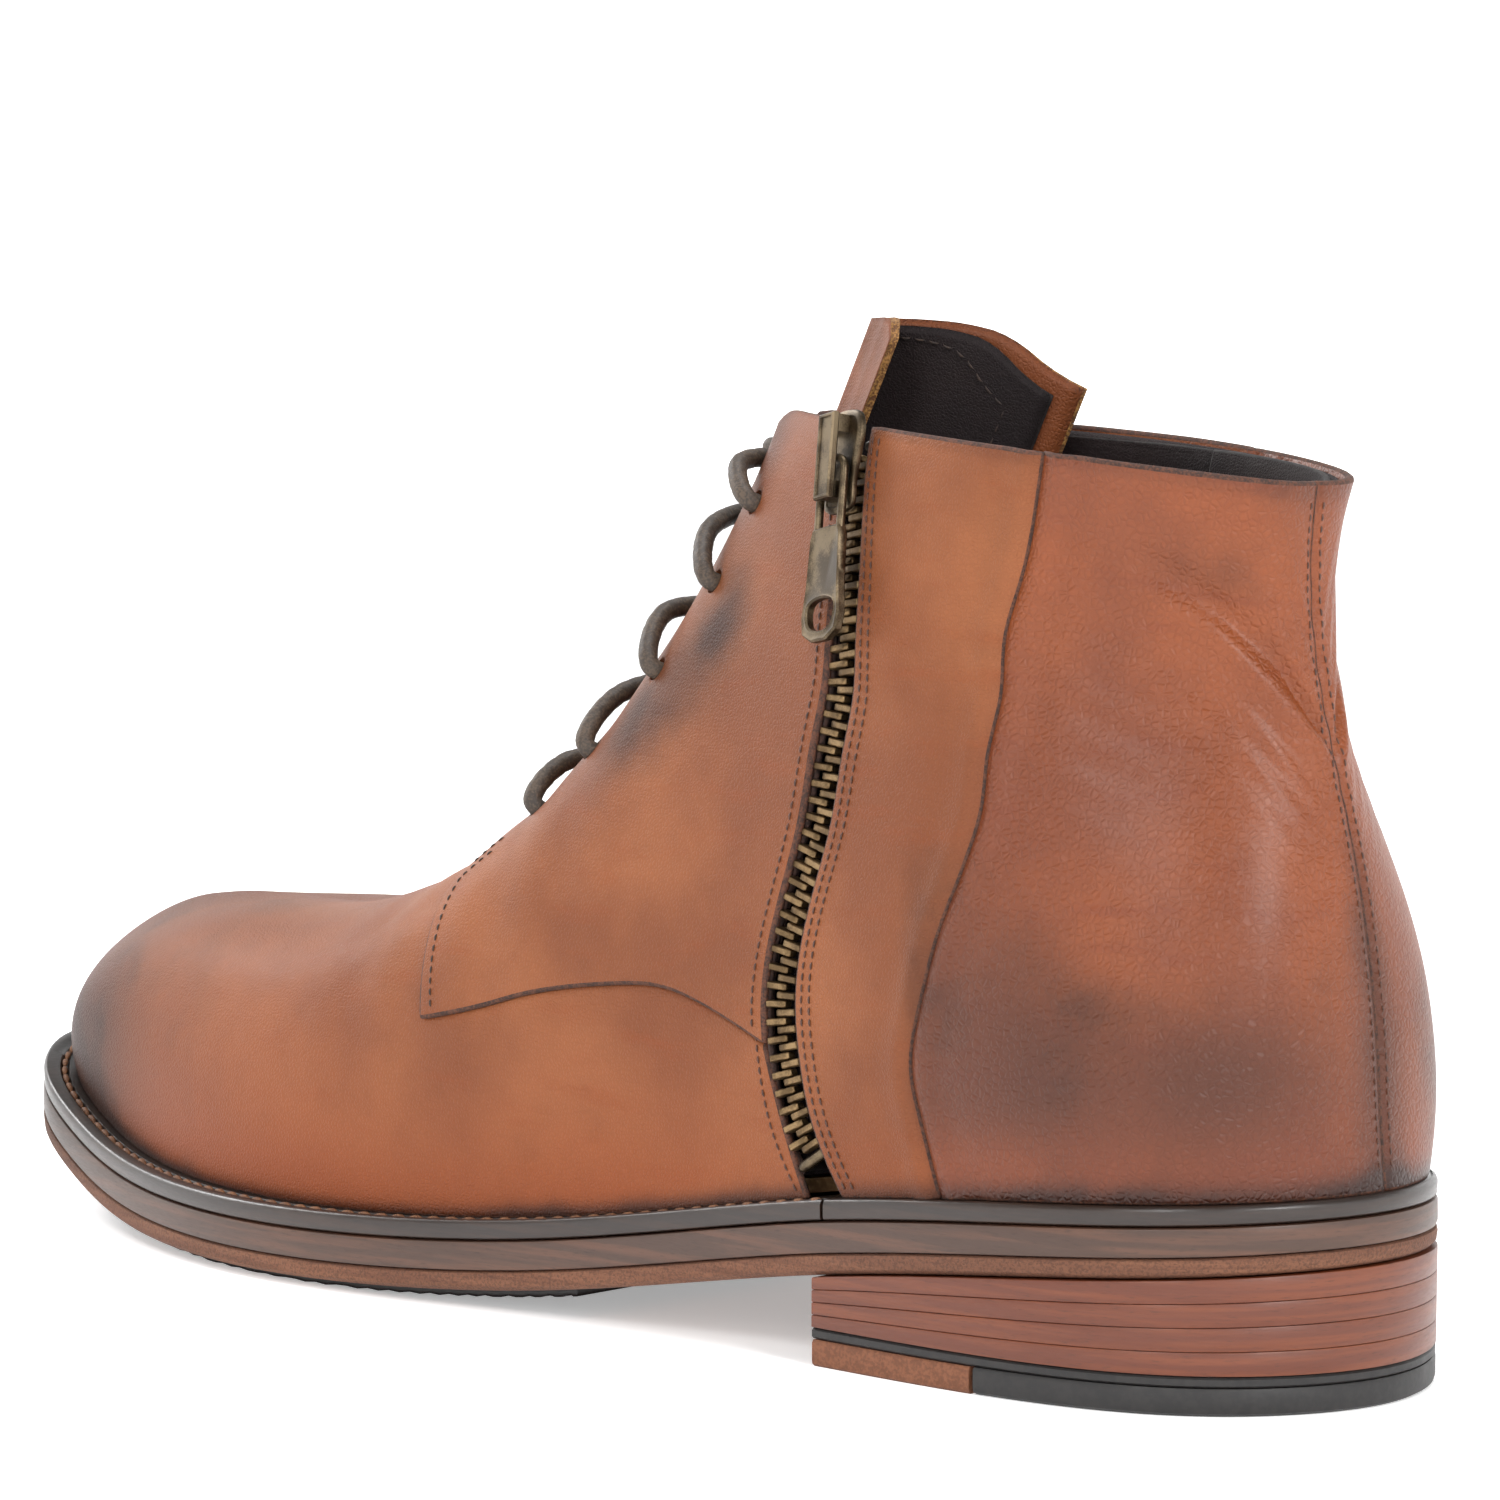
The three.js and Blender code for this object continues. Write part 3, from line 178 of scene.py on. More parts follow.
class Graph:
    """The node tree of one material."""

    def __init__(self, name: str) -> None:
        """Makes an empty material with a shader and an output."""
        self.material = bpy.data.materials.new(name)
        self.material.use_nodes = True
        self.tree = self.material.node_tree
        self.tree.nodes.clear()
        self.place = self.node("ShaderNodeTexCoord", {}, {}).link("Object")

    def node(self, kind: str, settings: dict, inputs: dict) -> Step:
        """Adds a node.

        Args:
            kind: The node's type.
            settings: Its settings, such as an operation, or stops for a colour ramp.
            inputs: Values or links for its sockets, by name or number.

        Returns:
            The node.
        """
        item = self.tree.nodes.new(kind)
        for name, setting in settings.items():
            if name == "stops":
                self._stops(item, setting)
            else:
                setattr(item, name, setting)
        for name, given in inputs.items():
            source = given.socket if isinstance(given, Value) else given
            if isinstance(source, bpy.types.NodeSocket):
                self.tree.links.new(source, item.inputs[name])
            else:
                item.inputs[name].default_value = source
        return Step(self, item)

    def _stops(self, item: bpy.types.Node, stops: list) -> None:
        """Sets the stops of a colour ramp."""
        elements = item.color_ramp.elements
        while len(elements) < len(stops):
            elements.new(0.5)
        for element, (position, colour) in zip(elements, stops):
            element.position = position
            element.color = colour

    def mark(self, name: str) -> Value:
        """A number stored on the mesh's points."""
        return self.node("ShaderNodeAttribute", {"attribute_name": name}, {}).value("Fac")

    def stretched(self, size: tuple[float, float, float]) -> bpy.types.NodeSocket:
        """The object coordinates, scaled on each axis."""
        inputs = {"Vector": self.place, "Scale": size}
        return self.node("ShaderNodeMapping", {}, inputs).link("Vector")

    def noise(self, scale: float, detail: float = 3.0, place: bpy.types.NodeSocket | None = None) -> Value:
        """Soft noise from 0 to 1.

        Args:
            scale: Features per metre.
            detail: Octaves.
            place: Coordinates, or None for the object's own.

        Returns:
            The noise as a value.
        """
        inputs = {"Vector": place or self.place, "Scale": scale, "Detail": detail}
        return self.node("ShaderNodeTexNoise", {}, inputs).value("Fac")

    def cells(self, scale: float, place: bpy.types.NodeSocket | None = None) -> Value:
        """Distance to the border between grain cells.

        Args:
            scale: Cells per metre.
            place: Coordinates, or None for the object's own.

        Returns:
            The distance, 0 on a border.
        """
        inputs = {"Vector": place or self.place, "Scale": scale}
        settings = {"feature": "DISTANCE_TO_EDGE"}
        return self.node("ShaderNodeTexVoronoi", settings, inputs).value("Distance")

    def mix(self, factor: Value, first: object, second: object) -> bpy.types.NodeSocket:
        """Mixes two colours.

        Args:
            factor: 0 for the first colour and 1 for the second.
            first: A colour or a colour socket.
            second: A colour or a colour socket.

        Returns:
            The mixed colour.
        """
        return self.node("ShaderNodeMix", {"data_type": "RGBA"}, {0: factor, 6: first, 7: second}).link(2)

    def bump(self, height: Value, depth: float, strength: float = 1.0) -> bpy.types.NodeSocket:
        """A normal from a height.

        Args:
            height: The height, 0 to 1.
            depth: Real height of 1, in metres.
            strength: How much of it counts.

        Returns:
            The normal socket.
        """
        inputs = {"Height": height, "Distance": depth, "Strength": strength}
        return self.node("ShaderNodeBump", {}, inputs).link("Normal")

    def finish(self, inputs: dict) -> bpy.types.Material:
        """Adds the shader and the output and returns the material."""
        shader = self.node("ShaderNodeBsdfPrincipled", {}, inputs)
        self.node("ShaderNodeOutputMaterial", {}, {"Surface": shader.link("BSDF")})
        return self.material


@dataclass(frozen=True)
class Leather:
    """Dyed, burnished and polished leather with a grain, darkened by a burnish mark that also carries painted
    shade.
    """

    name: str
    colour: tuple = linear(112, 61, 33)
    light: tuple = linear(136, 80, 47)
    # dark colour of the burnish, also used for the painted shade in the fold of the rear panel
    burnish: tuple = linear(46, 22, 12)
    warm: tuple = linear(124, 58, 20)
    grain: float = 1500.0
    grain_depth: float = 0.00007
    crease_depth: float = 0.00007
    gloss: float = 0.46
    coat: float = 0.08
    shine: float = 0.22

    def material(self) -> bpy.types.Material:
        """Builds the node material."""
        graph = Graph(self.name)
        cloud = graph.noise(28, 4)
        streak = graph.noise(190, 5, graph.stretched((0.35, 0.35, 1.6)))
        fleck = graph.noise(2600, 2)
        dark = graph.mark("burnish")
        warm = graph.mark("warmth")
        base = graph.mix(cloud.above(0.36, 0.66), self.colour, self.light)
        base = graph.mix((streak.above(0.52, 0.78)) * 0.35, base, self.warm)
        base = graph.mix(warm * (0.7 + cloud * 0.5), base, self.warm)
        patch = graph.noise(55, 4).above(0.46, 0.72) * 0.22
        # burnish and painted shade: the burnish mark also holds a painted shadow in the fold of the rear
        # panel
        smoke_and_shade = (dark * (0.62 + cloud * 0.7) + patch).above(0.0, 1.0)
        base = graph.mix(smoke_and_shade, base, self.burnish)
        cell = graph.cells(self.grain)
        crack = 1 - cell.above(0.0, 0.16)
        base = graph.mix(crack * 0.16 * fleck, base, self.burnish)
        wrinkle = graph.noise(420, 3, graph.stretched((0.45, 0.45, 2.6)))
        rough = self.gloss + cloud * 0.1 + fleck * 0.08 - smoke_and_shade * 0.05
        grained = graph.bump(cell.above(0.0, 0.3) + fleck * 0.35, self.grain_depth)
        creased = graph.node(
            "ShaderNodeBump",
            {},
            {"Height": wrinkle, "Distance": self.crease_depth, "Strength": 1.0, "Normal": grained},
        ).link("Normal")
        return graph.finish(
            {
                "Base Color": base,
                "Roughness": rough,
                "Normal": creased,
                "Coat Weight": (1 - cloud * 0.5 - smoke_and_shade * 0.4) * self.coat,
                "Coat Roughness": 0.3,
                "Specular IOR Level": self.shine,
            }
        )


@dataclass(frozen=True)
class Layered:
    """The edge of layered leather: streaks that run along the sole, waxed or bare."""

    name: str
    colour: tuple
    streak: tuple
    dark: tuple
    gloss: float = 0.35
    coat: float = 0.3
    fibre: float = 0.0

    def material(self) -> bpy.types.Material:
        """Builds the node material."""
        graph = Graph(self.name)
        run = graph.noise(260, 5, graph.stretched((0.14, 0.14, 3.4)))
        fine = graph.noise(1500, 4, graph.stretched((0.3, 0.3, 2.2)))
        cloud = graph.noise(22, 3)
        fuzz = graph.noise(2300, 3)
        base = graph.mix(run.above(0.4, 0.68), self.colour, self.streak)
        base = graph.mix(fine.above(0.55, 0.8) * 0.6, base, self.dark)
        base = graph.mix(graph.mark("burnish") * (0.6 + cloud * 0.6), base, self.dark)
        if self.fibre:
            base = graph.mix(fuzz.above(0.45, 0.62) * self.fibre, base, self.dark)
        height = run * 0.5 + fine * 0.5 + fuzz * self.fibre * 2.2
        return graph.finish(
            {
                "Base Color": base,
                "Roughness": self.gloss + fine * 0.16,
                "Normal": graph.bump(height, 0.00018 if self.fibre else 0.00007),
                "Coat Weight": (1 - fine * 0.6) * self.coat,
                "Coat Roughness": 0.2,
            }
        )


@dataclass(frozen=True)
class Fibrous:
    """Rough cut leather, cork or felt: speckled and matte."""

    name: str
    colour: tuple
    dark: tuple
    scale: float = 1800.0
    depth: float = 0.00022
    rough: float = 0.85

    def material(self) -> bpy.types.Material:
        """Builds the node material."""
        graph = Graph(self.name)
        fuzz = graph.noise(self.scale, 4)
        lump = graph.noise(self.scale * 0.25, 3)
        base = graph.mix((fuzz * 0.6 + lump * 0.4).above(0.4, 0.62), self.dark, self.colour)
        height = fuzz * 0.6 + lump * 0.6
        paint = {"Base Color": base, "Roughness": self.rough - lump * 0.15}
        return graph.finish(paint | {"Normal": graph.bump(height, self.depth)})


@dataclass(frozen=True)
class Metal:
    """Cast or drawn metal, with darker patina and rubbed brighter patches spread by noise."""

    name: str
    colour: tuple
    rubbed: tuple
    rough: float = 0.34

    def material(self) -> bpy.types.Material:
        """Builds the node material."""
        graph = Graph(self.name)
        patina = graph.noise(240, 3)
        scratch = graph.noise(3800, 2)
        base = graph.mix((patina * 0.75 + scratch * 0.25).above(0.4, 0.62), self.colour, self.rubbed)
        return graph.finish(
            {
                "Base Color": base,
                "Metallic": 1.0,
                "Roughness": self.rough + patina * 0.22,
                "Normal": graph.bump(patina + scratch * 0.4, 0.00003),
            }
        )


@dataclass(frozen=True)
class Woven:
    """Thread, braid or tape: ribs across the run and a little wax."""

    name: str
    colour: tuple
    light: tuple
    ribs: float = 2600.0
    rough: float = 0.62
    depth: float = 0.00008

    def material(self) -> bpy.types.Material:
        """Builds the node material."""
        graph = Graph(self.name)
        strand = graph.noise(self.ribs, 3)
        wear = graph.noise(220, 4)
        base = graph.mix((strand * 0.7 + wear * 0.3).above(0.42, 0.64), self.colour, self.light)
        paint = {"Base Color": base, "Roughness": self.rough + wear * 0.15}
        return graph.finish(paint | {"Normal": graph.bump(strand, self.depth)})


class Finishes:
    """Every finish on the boot, each built once."""

    def __init__(self) -> None:
        """Builds the materials."""
        tan = Leather("burnished_tan_leather")
        rear = Leather(
            "polished_rear_leather",
            colour=linear(104, 48, 18),
            light=linear(126, 62, 25),
            warm=linear(98, 36, 10),
            burnish=linear(42, 17, 7),
            grain=900.0,
            grain_depth=0.00012,
            crease_depth=0.00008,
            gloss=0.36,
            coat=0.22,
            shine=0.32,
        )
        dark = linear(24, 17, 15)
        lining = Leather(
            "dark_lining_leather",
            colour=linear(27, 20, 21),
            light=linear(36, 27, 27),
            burnish=dark,
            warm=linear(30, 20, 18),
            grain=1900.0,
            gloss=0.6,
            coat=0.0,
        )
        self.upper = tan.material()
        self.rear = rear.material()
        self.lining = lining.material()
        self.raw = Fibrous(
            "raw_leather_edge", linear(158, 114, 58), linear(86, 52, 22), 2600.0, 0.0004
        ).material()
        self.cut = Fibrous(
            "stained_leather_edge", linear(84, 46, 27), linear(44, 24, 15), 2600.0, 0.0001
        ).material()
        self.lining_edge = Fibrous(
            "dark_cut_edge", linear(34, 26, 24), linear(14, 10, 10), 2600.0, 0.0001
        ).material()
        welt = Layered("waxed_welt", linear(38, 26, 20), linear(54, 36, 26), linear(20, 14, 12), 0.3, 0.2)
        middle = Layered(
            "stained_midsole", linear(62, 40, 28), linear(82, 52, 36), linear(34, 22, 16), 0.4, 0.15
        )
        bottom = Layered(
            "bare_outsole_edge", linear(98, 61, 42), linear(114, 74, 52), linear(62, 37, 25), 0.75, 0.0, 0.5
        )
        stack = Layered(
            "waxed_heel_stack", linear(90, 39, 15), linear(106, 50, 20), linear(56, 25, 11), 0.36, 0.12
        )
        self.welt = welt.material()
        self.middle = middle.material()
        self.bottom = bottom.material()
        self.stack = stack.material()
        self.insert = Fibrous(
            "bare_heel_insert", linear(118, 72, 46), linear(98, 58, 36), 1900.0, 0.00012
        ).material()
        self.rubber = Fibrous(
            "black_rubber", linear(28, 25, 24), linear(18, 16, 16), 900.0, 0.00006, 0.6
        ).material()
        self.cork = Fibrous(
            "bonded_cork", linear(176, 138, 92), linear(112, 80, 48), 500.0, 0.0004
        ).material()
        self.insole = Fibrous("insole_leather", linear(200, 160, 112), linear(170, 128, 84), 900.0).material()
        self.board = Fibrous("stiffener_board", linear(176, 158, 128), linear(140, 118, 88), 700.0).material()
        self.brass = Metal("antique_brass", linear(66, 56, 44), linear(112, 98, 78), 0.3).material()
        self.teeth = Metal("brass_teeth", linear(92, 74, 52), linear(140, 116, 84), 0.36).material()
        self.steel = Metal("shank_steel", linear(150, 152, 156), linear(190, 192, 196), 0.3).material()
        self.tape = Woven("zip_tape_weave", linear(44, 30, 26), linear(70, 48, 40), 1600.0, 0.85).material()
        self.lace = Woven("waxed_lace_braid", linear(48, 38, 30), linear(78, 63, 49), 2400.0, 0.5).material()
        self.thread = Woven(
            "dark_thread", linear(52, 27, 16), linear(84, 46, 27), 3200.0, 0.5, 0.00003
        ).material()
        self.black_thread = Woven("black_thread", linear(34, 23, 18), linear(60, 42, 31), 3200.0).material()
        self.welt_thread = Woven(
            "welt_thread", linear(88, 54, 31), linear(124, 82, 50), 3000.0, 0.6
        ).material()


# ------------------------------------------------------------------------------------ shapes
class Curve:
    """Smooth curve through values at knots, natural at its ends or closed."""

    def __init__(self, knots: list, values: list, closed: bool = False) -> None:
        """Solves for the bends at the knots."""
        self.knots = np.asarray(knots, float)
        self.values = np.asarray(values, float).reshape(len(self.knots), -1)
        count = len(self.knots)
        gaps = np.diff(self.knots)
        system = np.eye(count)
        right = np.zeros_like(self.values)
        for i in range(0 if closed else 1, count - 1):
            back = count - 2 if i == 0 else i - 1
            before, after = gaps[back], gaps[i]
            system[i] = 0
            system[i, back] += before
            system[i, i] += 2 * (before + after)
            system[i, i + 1] += after
            rise = (self.values[i + 1] - self.values[i]) / after
            fall = (self.values[i] - self.values[back]) / before
            right[i] = 6 * (rise - fall)
        if closed:
            system[count - 1, 0] = -1
        self.bends = np.linalg.solve(system, right)

    def __call__(self, place: np.ndarray) -> np.ndarray:
        """Values of the curve.

        Args:
            place: Places along the knots, any shape.

        Returns:
            One value for each place, with the value's axes last.
        """
        place = np.asarray(place, float)
        i = np.clip(np.searchsorted(self.knots, place) - 1, 0, len(self.knots) - 2)
        step = (self.knots[i + 1] - self.knots[i])[..., None]
        b = (place - self.knots[i])[..., None] / step
        a = 1 - b
        bend = (a**3 - a) * self.bends[i] + (b**3 - b) * self.bends[i + 1]
        return a * self.values[i] + b * self.values[i + 1] + bend * step**2 / 6


def unit(rows: np.ndarray) -> np.ndarray:
    """Rows scaled to length 1."""
    return rows / np.maximum(np.linalg.norm(rows, axis=-1, keepdims=True), 1e-9)


def ramp(value: np.ndarray, low: float, high: float) -> np.ndarray:
    """Smooth step from 0 at low to 1 at high.

    Args:
        value: Numbers of any shape.
        low: Where the step starts.
        high: Where the step ends; it may be below low.

    Returns:
        Numbers from 0 to 1.
    """
    share = np.clip((np.asarray(value, float) - low) / (high - low), 0, 1)
    return share * share * (3 - 2 * share)


def bell(away: np.ndarray, width: float) -> np.ndarray:
    """A soft hump that is 1 where away is 0 and has almost gone at twice the width."""
    return np.exp(-((away / width) ** 2))


def run_of(points: np.ndarray) -> np.ndarray:
    """Length along a line up to each of its points."""
    return np.concatenate([[0], np.cumsum(np.linalg.norm(np.diff(points, axis=0), axis=1))])


def same(value: float) -> object:
    """A function that gives the same number everywhere."""
    return lambda places: np.full(np.shape(places), value)


def smooth_line(points: list, count: int) -> np.ndarray:
    """A smooth line through points, evenly spread.

    Args:
        points: Points of any dimension.
        count: How many points come back.

    Returns:
        The points of the line.
    """
    rows = np.asarray(points, float)
    run = run_of(rows)
    return Curve(run, rows)(np.linspace(0, run[-1], count))


@dataclass
class Last:
    """The reference surface of the boot: sole edge, heights and the shape of the upper."""

    sole_length: float = 300.0
    breast_x: float = 218.5
    sole_edge: tuple = (
        (0, -1), (10, -20.5), (32, -32), (92, -48.5), (150, -43.5), (198, -39), (250, -39), (286, -28),
        (300, 0), (286, 28), (250, 40), (205, 38.5), (158, 46.5), (112, 54.5), (40, 36.5), (11, 20),
    )  # fmt: skip
    underside: tuple = ((0, 18.5), (40, 5.5), (85, 1.4), (110, 1.4), (160, 4.5), (218.5, 14), (300, 21.5))
    thickness: tuple = ((0, 11.5), (218.5, 12), (300, 10.5))
    margin: tuple = (6.5, 6.5, 6, 5.5, 3.5, 2, 1.5, 1.5, 1.5, 1.5, 1.5, 2, 3.5, 5.5, 6, 6.5)
    low: tuple = (
        (2, 14), (5, 14), (4, 17), (2.5, 17), (1, 18.5), (-1, 22), (4, 26.5), (6.5, 26.5), (-4, 26.5),
    )  # fmt: skip
    mid: tuple = (
        (18, 0, 54), (22, -15.5, 53), (39.5, -29.5, 56.5), (88, -42, 59), (136, -44.5, 73),
        (195, -38, 86), (245, -35, 89), (282, -20, 87.5), (300, 0, 87),
    )  # fmt: skip
    high: tuple = (
        (28, 0, 56.5), (41.5, -7, 57.5), (70.5, -18, 60), (103, -23, 63.5), (152.5, -24, 92),
        (187.5, -17.5, 141.5), (229, -28, 117.5), (268, -8, 103), (278, 0, 94),
    )  # fmt: skip
    top: tuple = (
        (37.5, 0, 57.5), (48.5, 0, 58.5), (70, 0, 58.5), (101.5, 0, 64), (148, 0, 91.5),
        (176.5, 0, 146), (234, -27, 142.5), (277.5, -16, 137.5), (284, 0, 136.5),
    )  # fmt: skip
    widening: float = 0.7
    knots: np.ndarray = field(init=False)
    shift: np.ndarray = field(init=False)

    def __post_init__(self) -> None:
        """Builds the splines and finds the move into the row frame."""
        edge = np.array(self.sole_edge, float)
        chords = np.linalg.norm(np.roll(edge, -1, axis=0) - edge, axis=1)
        self.knots = np.concatenate([[0], np.cumsum(np.sqrt(chords))])
        self._edge = Curve(self.knots, [*edge, edge[0]], closed=True)
        self._under = Curve([x for x, _ in self.underside], [z for _, z in self.underside])
        self._low, self._mid, self._high, tops = self._rows()
        places = np.arange(-TOP_FRONT, TOP_FRONT + 1)
        ridge_knots = np.sign(places) * self.knots[np.abs(places)]
        self._ridge = Curve(ridge_knots, tops[np.abs(places)])
        rim = slice(TOP_FRONT, ROUND - TOP_FRONT + 1)
        self._rim = Curve(self.knots[rim], tops[rim])
        outline = self.edge_at(np.linspace(0, ROUND, 2000), 0.0)[0]
        low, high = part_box("outsole")
        middle = (outline.min(0) + outline.max(0)) / 2
        packed = np.array([low.x + high.x, low.y + high.y]) / 2 / MM
        self.shift = np.array([*(middle - packed), 0.0])

    def _rows(self) -> tuple[Curve, Curve, Curve, np.ndarray]:
        """The closed control rows round the boot, mirrored to the outer side."""
        rows: list[list] = [[], [], [], []]
        for i in range(ROUND):
            outer = i > HEEL_BACK
            near = ROUND - i if outer else i
            point, out = self.feather(np.array(float(i)))
            twin = self.feather(np.array(float(near)))[0]
            side = -1 if outer else 1
            wider = 1 + (abs(point[1] / twin[1]) - 1) * self.widening if outer else 1
            reach, rise = self.low[near]
            rows[0].append([point[0] + out[0] * reach, point[1] + out[1] * reach, point[2] + rise])
            rows[1].append([self.mid[near][0], self.mid[near][1] * side * wider, self.mid[near][2]])
            rows[2].append([self.high[near][0], self.high[near][1] * side, self.high[near][2]])
            rows[3].append([self.top[near][0], self.top[near][1] * side, self.top[near][2]])
        closed = [Curve(self.knots, [*row, row[0]], closed=True) for row in rows[:3]]
        return closed[0], closed[1], closed[2], np.array(rows[3], float)

    def knot_at(self, position: np.ndarray) -> np.ndarray:
        """Spline parameter of an edge position; positions past 16 wrap round."""
        wrapped = np.mod(np.asarray(position, float), ROUND)
        i = np.floor(wrapped).astype(int)
        return self.knots[i] + (self.knots[i + 1] - self.knots[i]) * (wrapped - i)

    def edge_at(self, position: np.ndarray, inset: np.ndarray | float) -> tuple[np.ndarray, np.ndarray]:
        """Point on the sole edge moved inwards, and the outward direction.

        Args:
            position: Edge positions.
            inset: How far inwards.

        Returns:
            The points and the directions, both in x and y.
        """
        knot = self.knot_at(position)
        full = self.knots[-1]
        run = self._edge(np.mod(knot + 0.01, full)) - self._edge(np.mod(knot - 0.01 + full, full))
        out = unit(np.stack([run[..., 1], -run[..., 0]], -1))
        return self._edge(knot) - out * np.asarray(inset)[..., None], out

    def sole_height(self, x: np.ndarray, share: float) -> np.ndarray:
        """Height in the sole at x: share 0 is the underside and share 1 the welt's top."""
        thick = np.interp(x, [pair[0] for pair in self.thickness], [pair[1] for pair in self.thickness])
        return self._under(x)[..., 0] + thick * share

    def feather(self, position: np.ndarray) -> tuple[np.ndarray, np.ndarray]:
        """Points where the upper meets the welt, and the outward directions."""
        wrapped = np.mod(np.asarray(position, float), ROUND)
        around = [*self.margin, self.margin[0]]
        xy, out = self.edge_at(wrapped, np.interp(wrapped, np.arange(ROUND + 1), around))
        return np.concatenate([xy, self.sole_height(xy[..., 0], 1)[..., None]], -1), out

    def from_toe(self, position: np.ndarray) -> np.ndarray:
        """Distance in edge points from the toe, the same on both sides."""
        wrapped = np.mod(position, ROUND)
        return np.minimum(wrapped, ROUND - wrapped)

    def under_rim(self, position: np.ndarray) -> np.ndarray:
        """Whether positions lie under the rim instead of the front ridge."""
        return self.from_toe(position) >= TOP_FRONT

    def top_at(self, position: np.ndarray) -> np.ndarray:
        """Points of the ridge or the rim."""
        ridge = self._ridge(self.knot_at(self.from_toe(position)))
        rim = self._rim(self.knot_at(position))
        return np.where(self.under_rim(position)[..., None], rim, ridge)

    def surface(self, position: np.ndarray, share: np.ndarray) -> np.ndarray:
        """Points of the upper: edge position round the boot, height share from 0 to 1."""
        position, share = np.broadcast_arrays(np.asarray(position, float), np.asarray(share, float))
        knot = self.knot_at(position)
        t = share[..., None]
        rest = 1 - t
        return (
            self.feather(position)[0] * rest**4
            + self._low(knot) * 4 * t * rest**3
            + self._mid(knot) * 6 * t**2 * rest**2
            + self._high(knot) * 4 * t**3 * rest
            + self.top_at(position) * t**4
        )

    def normal(self, position: np.ndarray, share: np.ndarray) -> np.ndarray:
        """Outward directions of the upper; on the front ridge they stay in the middle plane."""
        position, share = np.broadcast_arrays(np.asarray(position, float), np.asarray(share, float))
        rise = self.surface(position, np.minimum(share + 0.01, 0.999))
        rise = rise - self.surface(position, np.maximum(share - 0.01, 0))
        level = np.minimum(share, 0.98)
        turn = self.surface(position + 0.03, level) - self.surface(position - 0.03, level)
        side = unit(np.cross(turn, rise))
        far = self.from_toe(position)
        run = self.top_at(far + 0.1) - self.top_at(np.maximum(far - 0.1, 0))
        ridge = unit(np.stack([-run[..., 2], run[..., 1] * 0, run[..., 0]], -1))
        on_ridge = (share > 0.999) & ~self.under_rim(position)
        return np.where(on_ridge[..., None], ridge, side)

    def offset(self, position: np.ndarray, share: np.ndarray, distance: np.ndarray | float) -> np.ndarray:
        """Points at a distance outwards from the surface."""
        return self.surface(position, share) + self.normal(position, share) * np.asarray(distance)[..., None]

    def across_front(self, ridge: np.ndarray, half: np.ndarray, outer: bool) -> tuple[np.ndarray, np.ndarray]:
        """Surface places level with ridge positions and a given distance from the middle.

        Args:
            ridge: Positions along the front ridge.
            half: Distances from the middle plane.
            outer: Whether the places are on the outer side.

        Returns:
            Edge positions, counted from the toe on that side, and height shares.
        """
        ridge, half = np.broadcast_arrays(np.asarray(ridge, float), np.asarray(half, float))
        base = self.top_at(ridge)
        middle = np.minimum(ridge, TOP_FRONT - 0.03)
        run = unit(self.top_at(middle + 0.02) - self.top_at(middle - 0.02))
        at = (lambda p: ROUND - p) if outer else (lambda p: p)

        def miss(p: np.ndarray, s: np.ndarray, target: np.ndarray) -> tuple[np.ndarray, np.ndarray]:
            """How far a place is from level, and from the target distance."""
            point = self.surface(at(p), s)
            return ((point - base) * run).sum(-1), np.abs(point[..., 1]) - target

        p, s = ridge.copy(), np.full(ridge.shape, 0.97)
        for part in range(1, 7):
            target = half * part / 6
            for _ in range(8):
                f, g = miss(p, s, target)
                fp, gp = miss(p + 0.002, s, target)
                fs, gs = miss(p, s - 0.002, target)
                fp, gp, fs, gs = (fp - f) / 0.002, (gp - g) / 0.002, (f - fs) / 0.002, (g - gs) / 0.002
                size = fp * gs - fs * gp
                size = np.where(np.abs(size) < 1e-9, 1e-9, size)
                p = p - (f * gs - fs * g) / size
                s = np.minimum(s - (fp * g - f * gp) / size, 1)
        return p, s

    def front_place(self, ridge: float, half: float, outer: bool) -> tuple[np.ndarray, np.ndarray]:
        """The surface place level with a ridge position, at a distance from the middle."""
        p, s = self.across_front(np.array(float(ridge)), np.array(float(half)), outer)
        return (ROUND - p if outer else p), s

    def front_point(self, ridge: float, half: float, outer: bool, distance: float) -> np.ndarray:
        """A point level with a ridge position, at a distance from the surface."""
        if half < 0.01:
            return self.offset(np.array(float(ridge)), np.array(1.0), distance)
        return self.offset(*self.front_place(ridge, half, outer), distance)

    def shifted(self, position: np.ndarray, share: np.ndarray, reach: np.ndarray | float) -> np.ndarray:
        """Positions moved along the boot by a reach; a negative reach is towards the toe."""
        step = self.surface(position + 0.02, share) - self.surface(position, share)
        return position + reach / (np.linalg.norm(step, axis=-1) / 0.02)


def wall_faces(rings: int, size: int, closed: bool = False) -> list:
    """Quads between rings of points, each ring joined to the next.

    Args:
        rings: How many rings there are.
        size: Points on each ring.
        closed: Whether the last ring joins the first.

    Returns:
        The quads as lists of point numbers.
    """
    faces = []
    for r in range(rings if closed else rings - 1):
        here, there = r * size, (r + 1) % rings * size
        for i in range(size):
            following = (i + 1) % size
            faces.append([here + i, here + following, there + following, there + i])
    return faces


def placed(name: str, data: bpy.types.ID) -> bpy.types.Object:
    """A new object in the scene."""
    item = bpy.data.objects.new(name, data)
    bpy.context.scene.collection.objects.link(item)
    return item


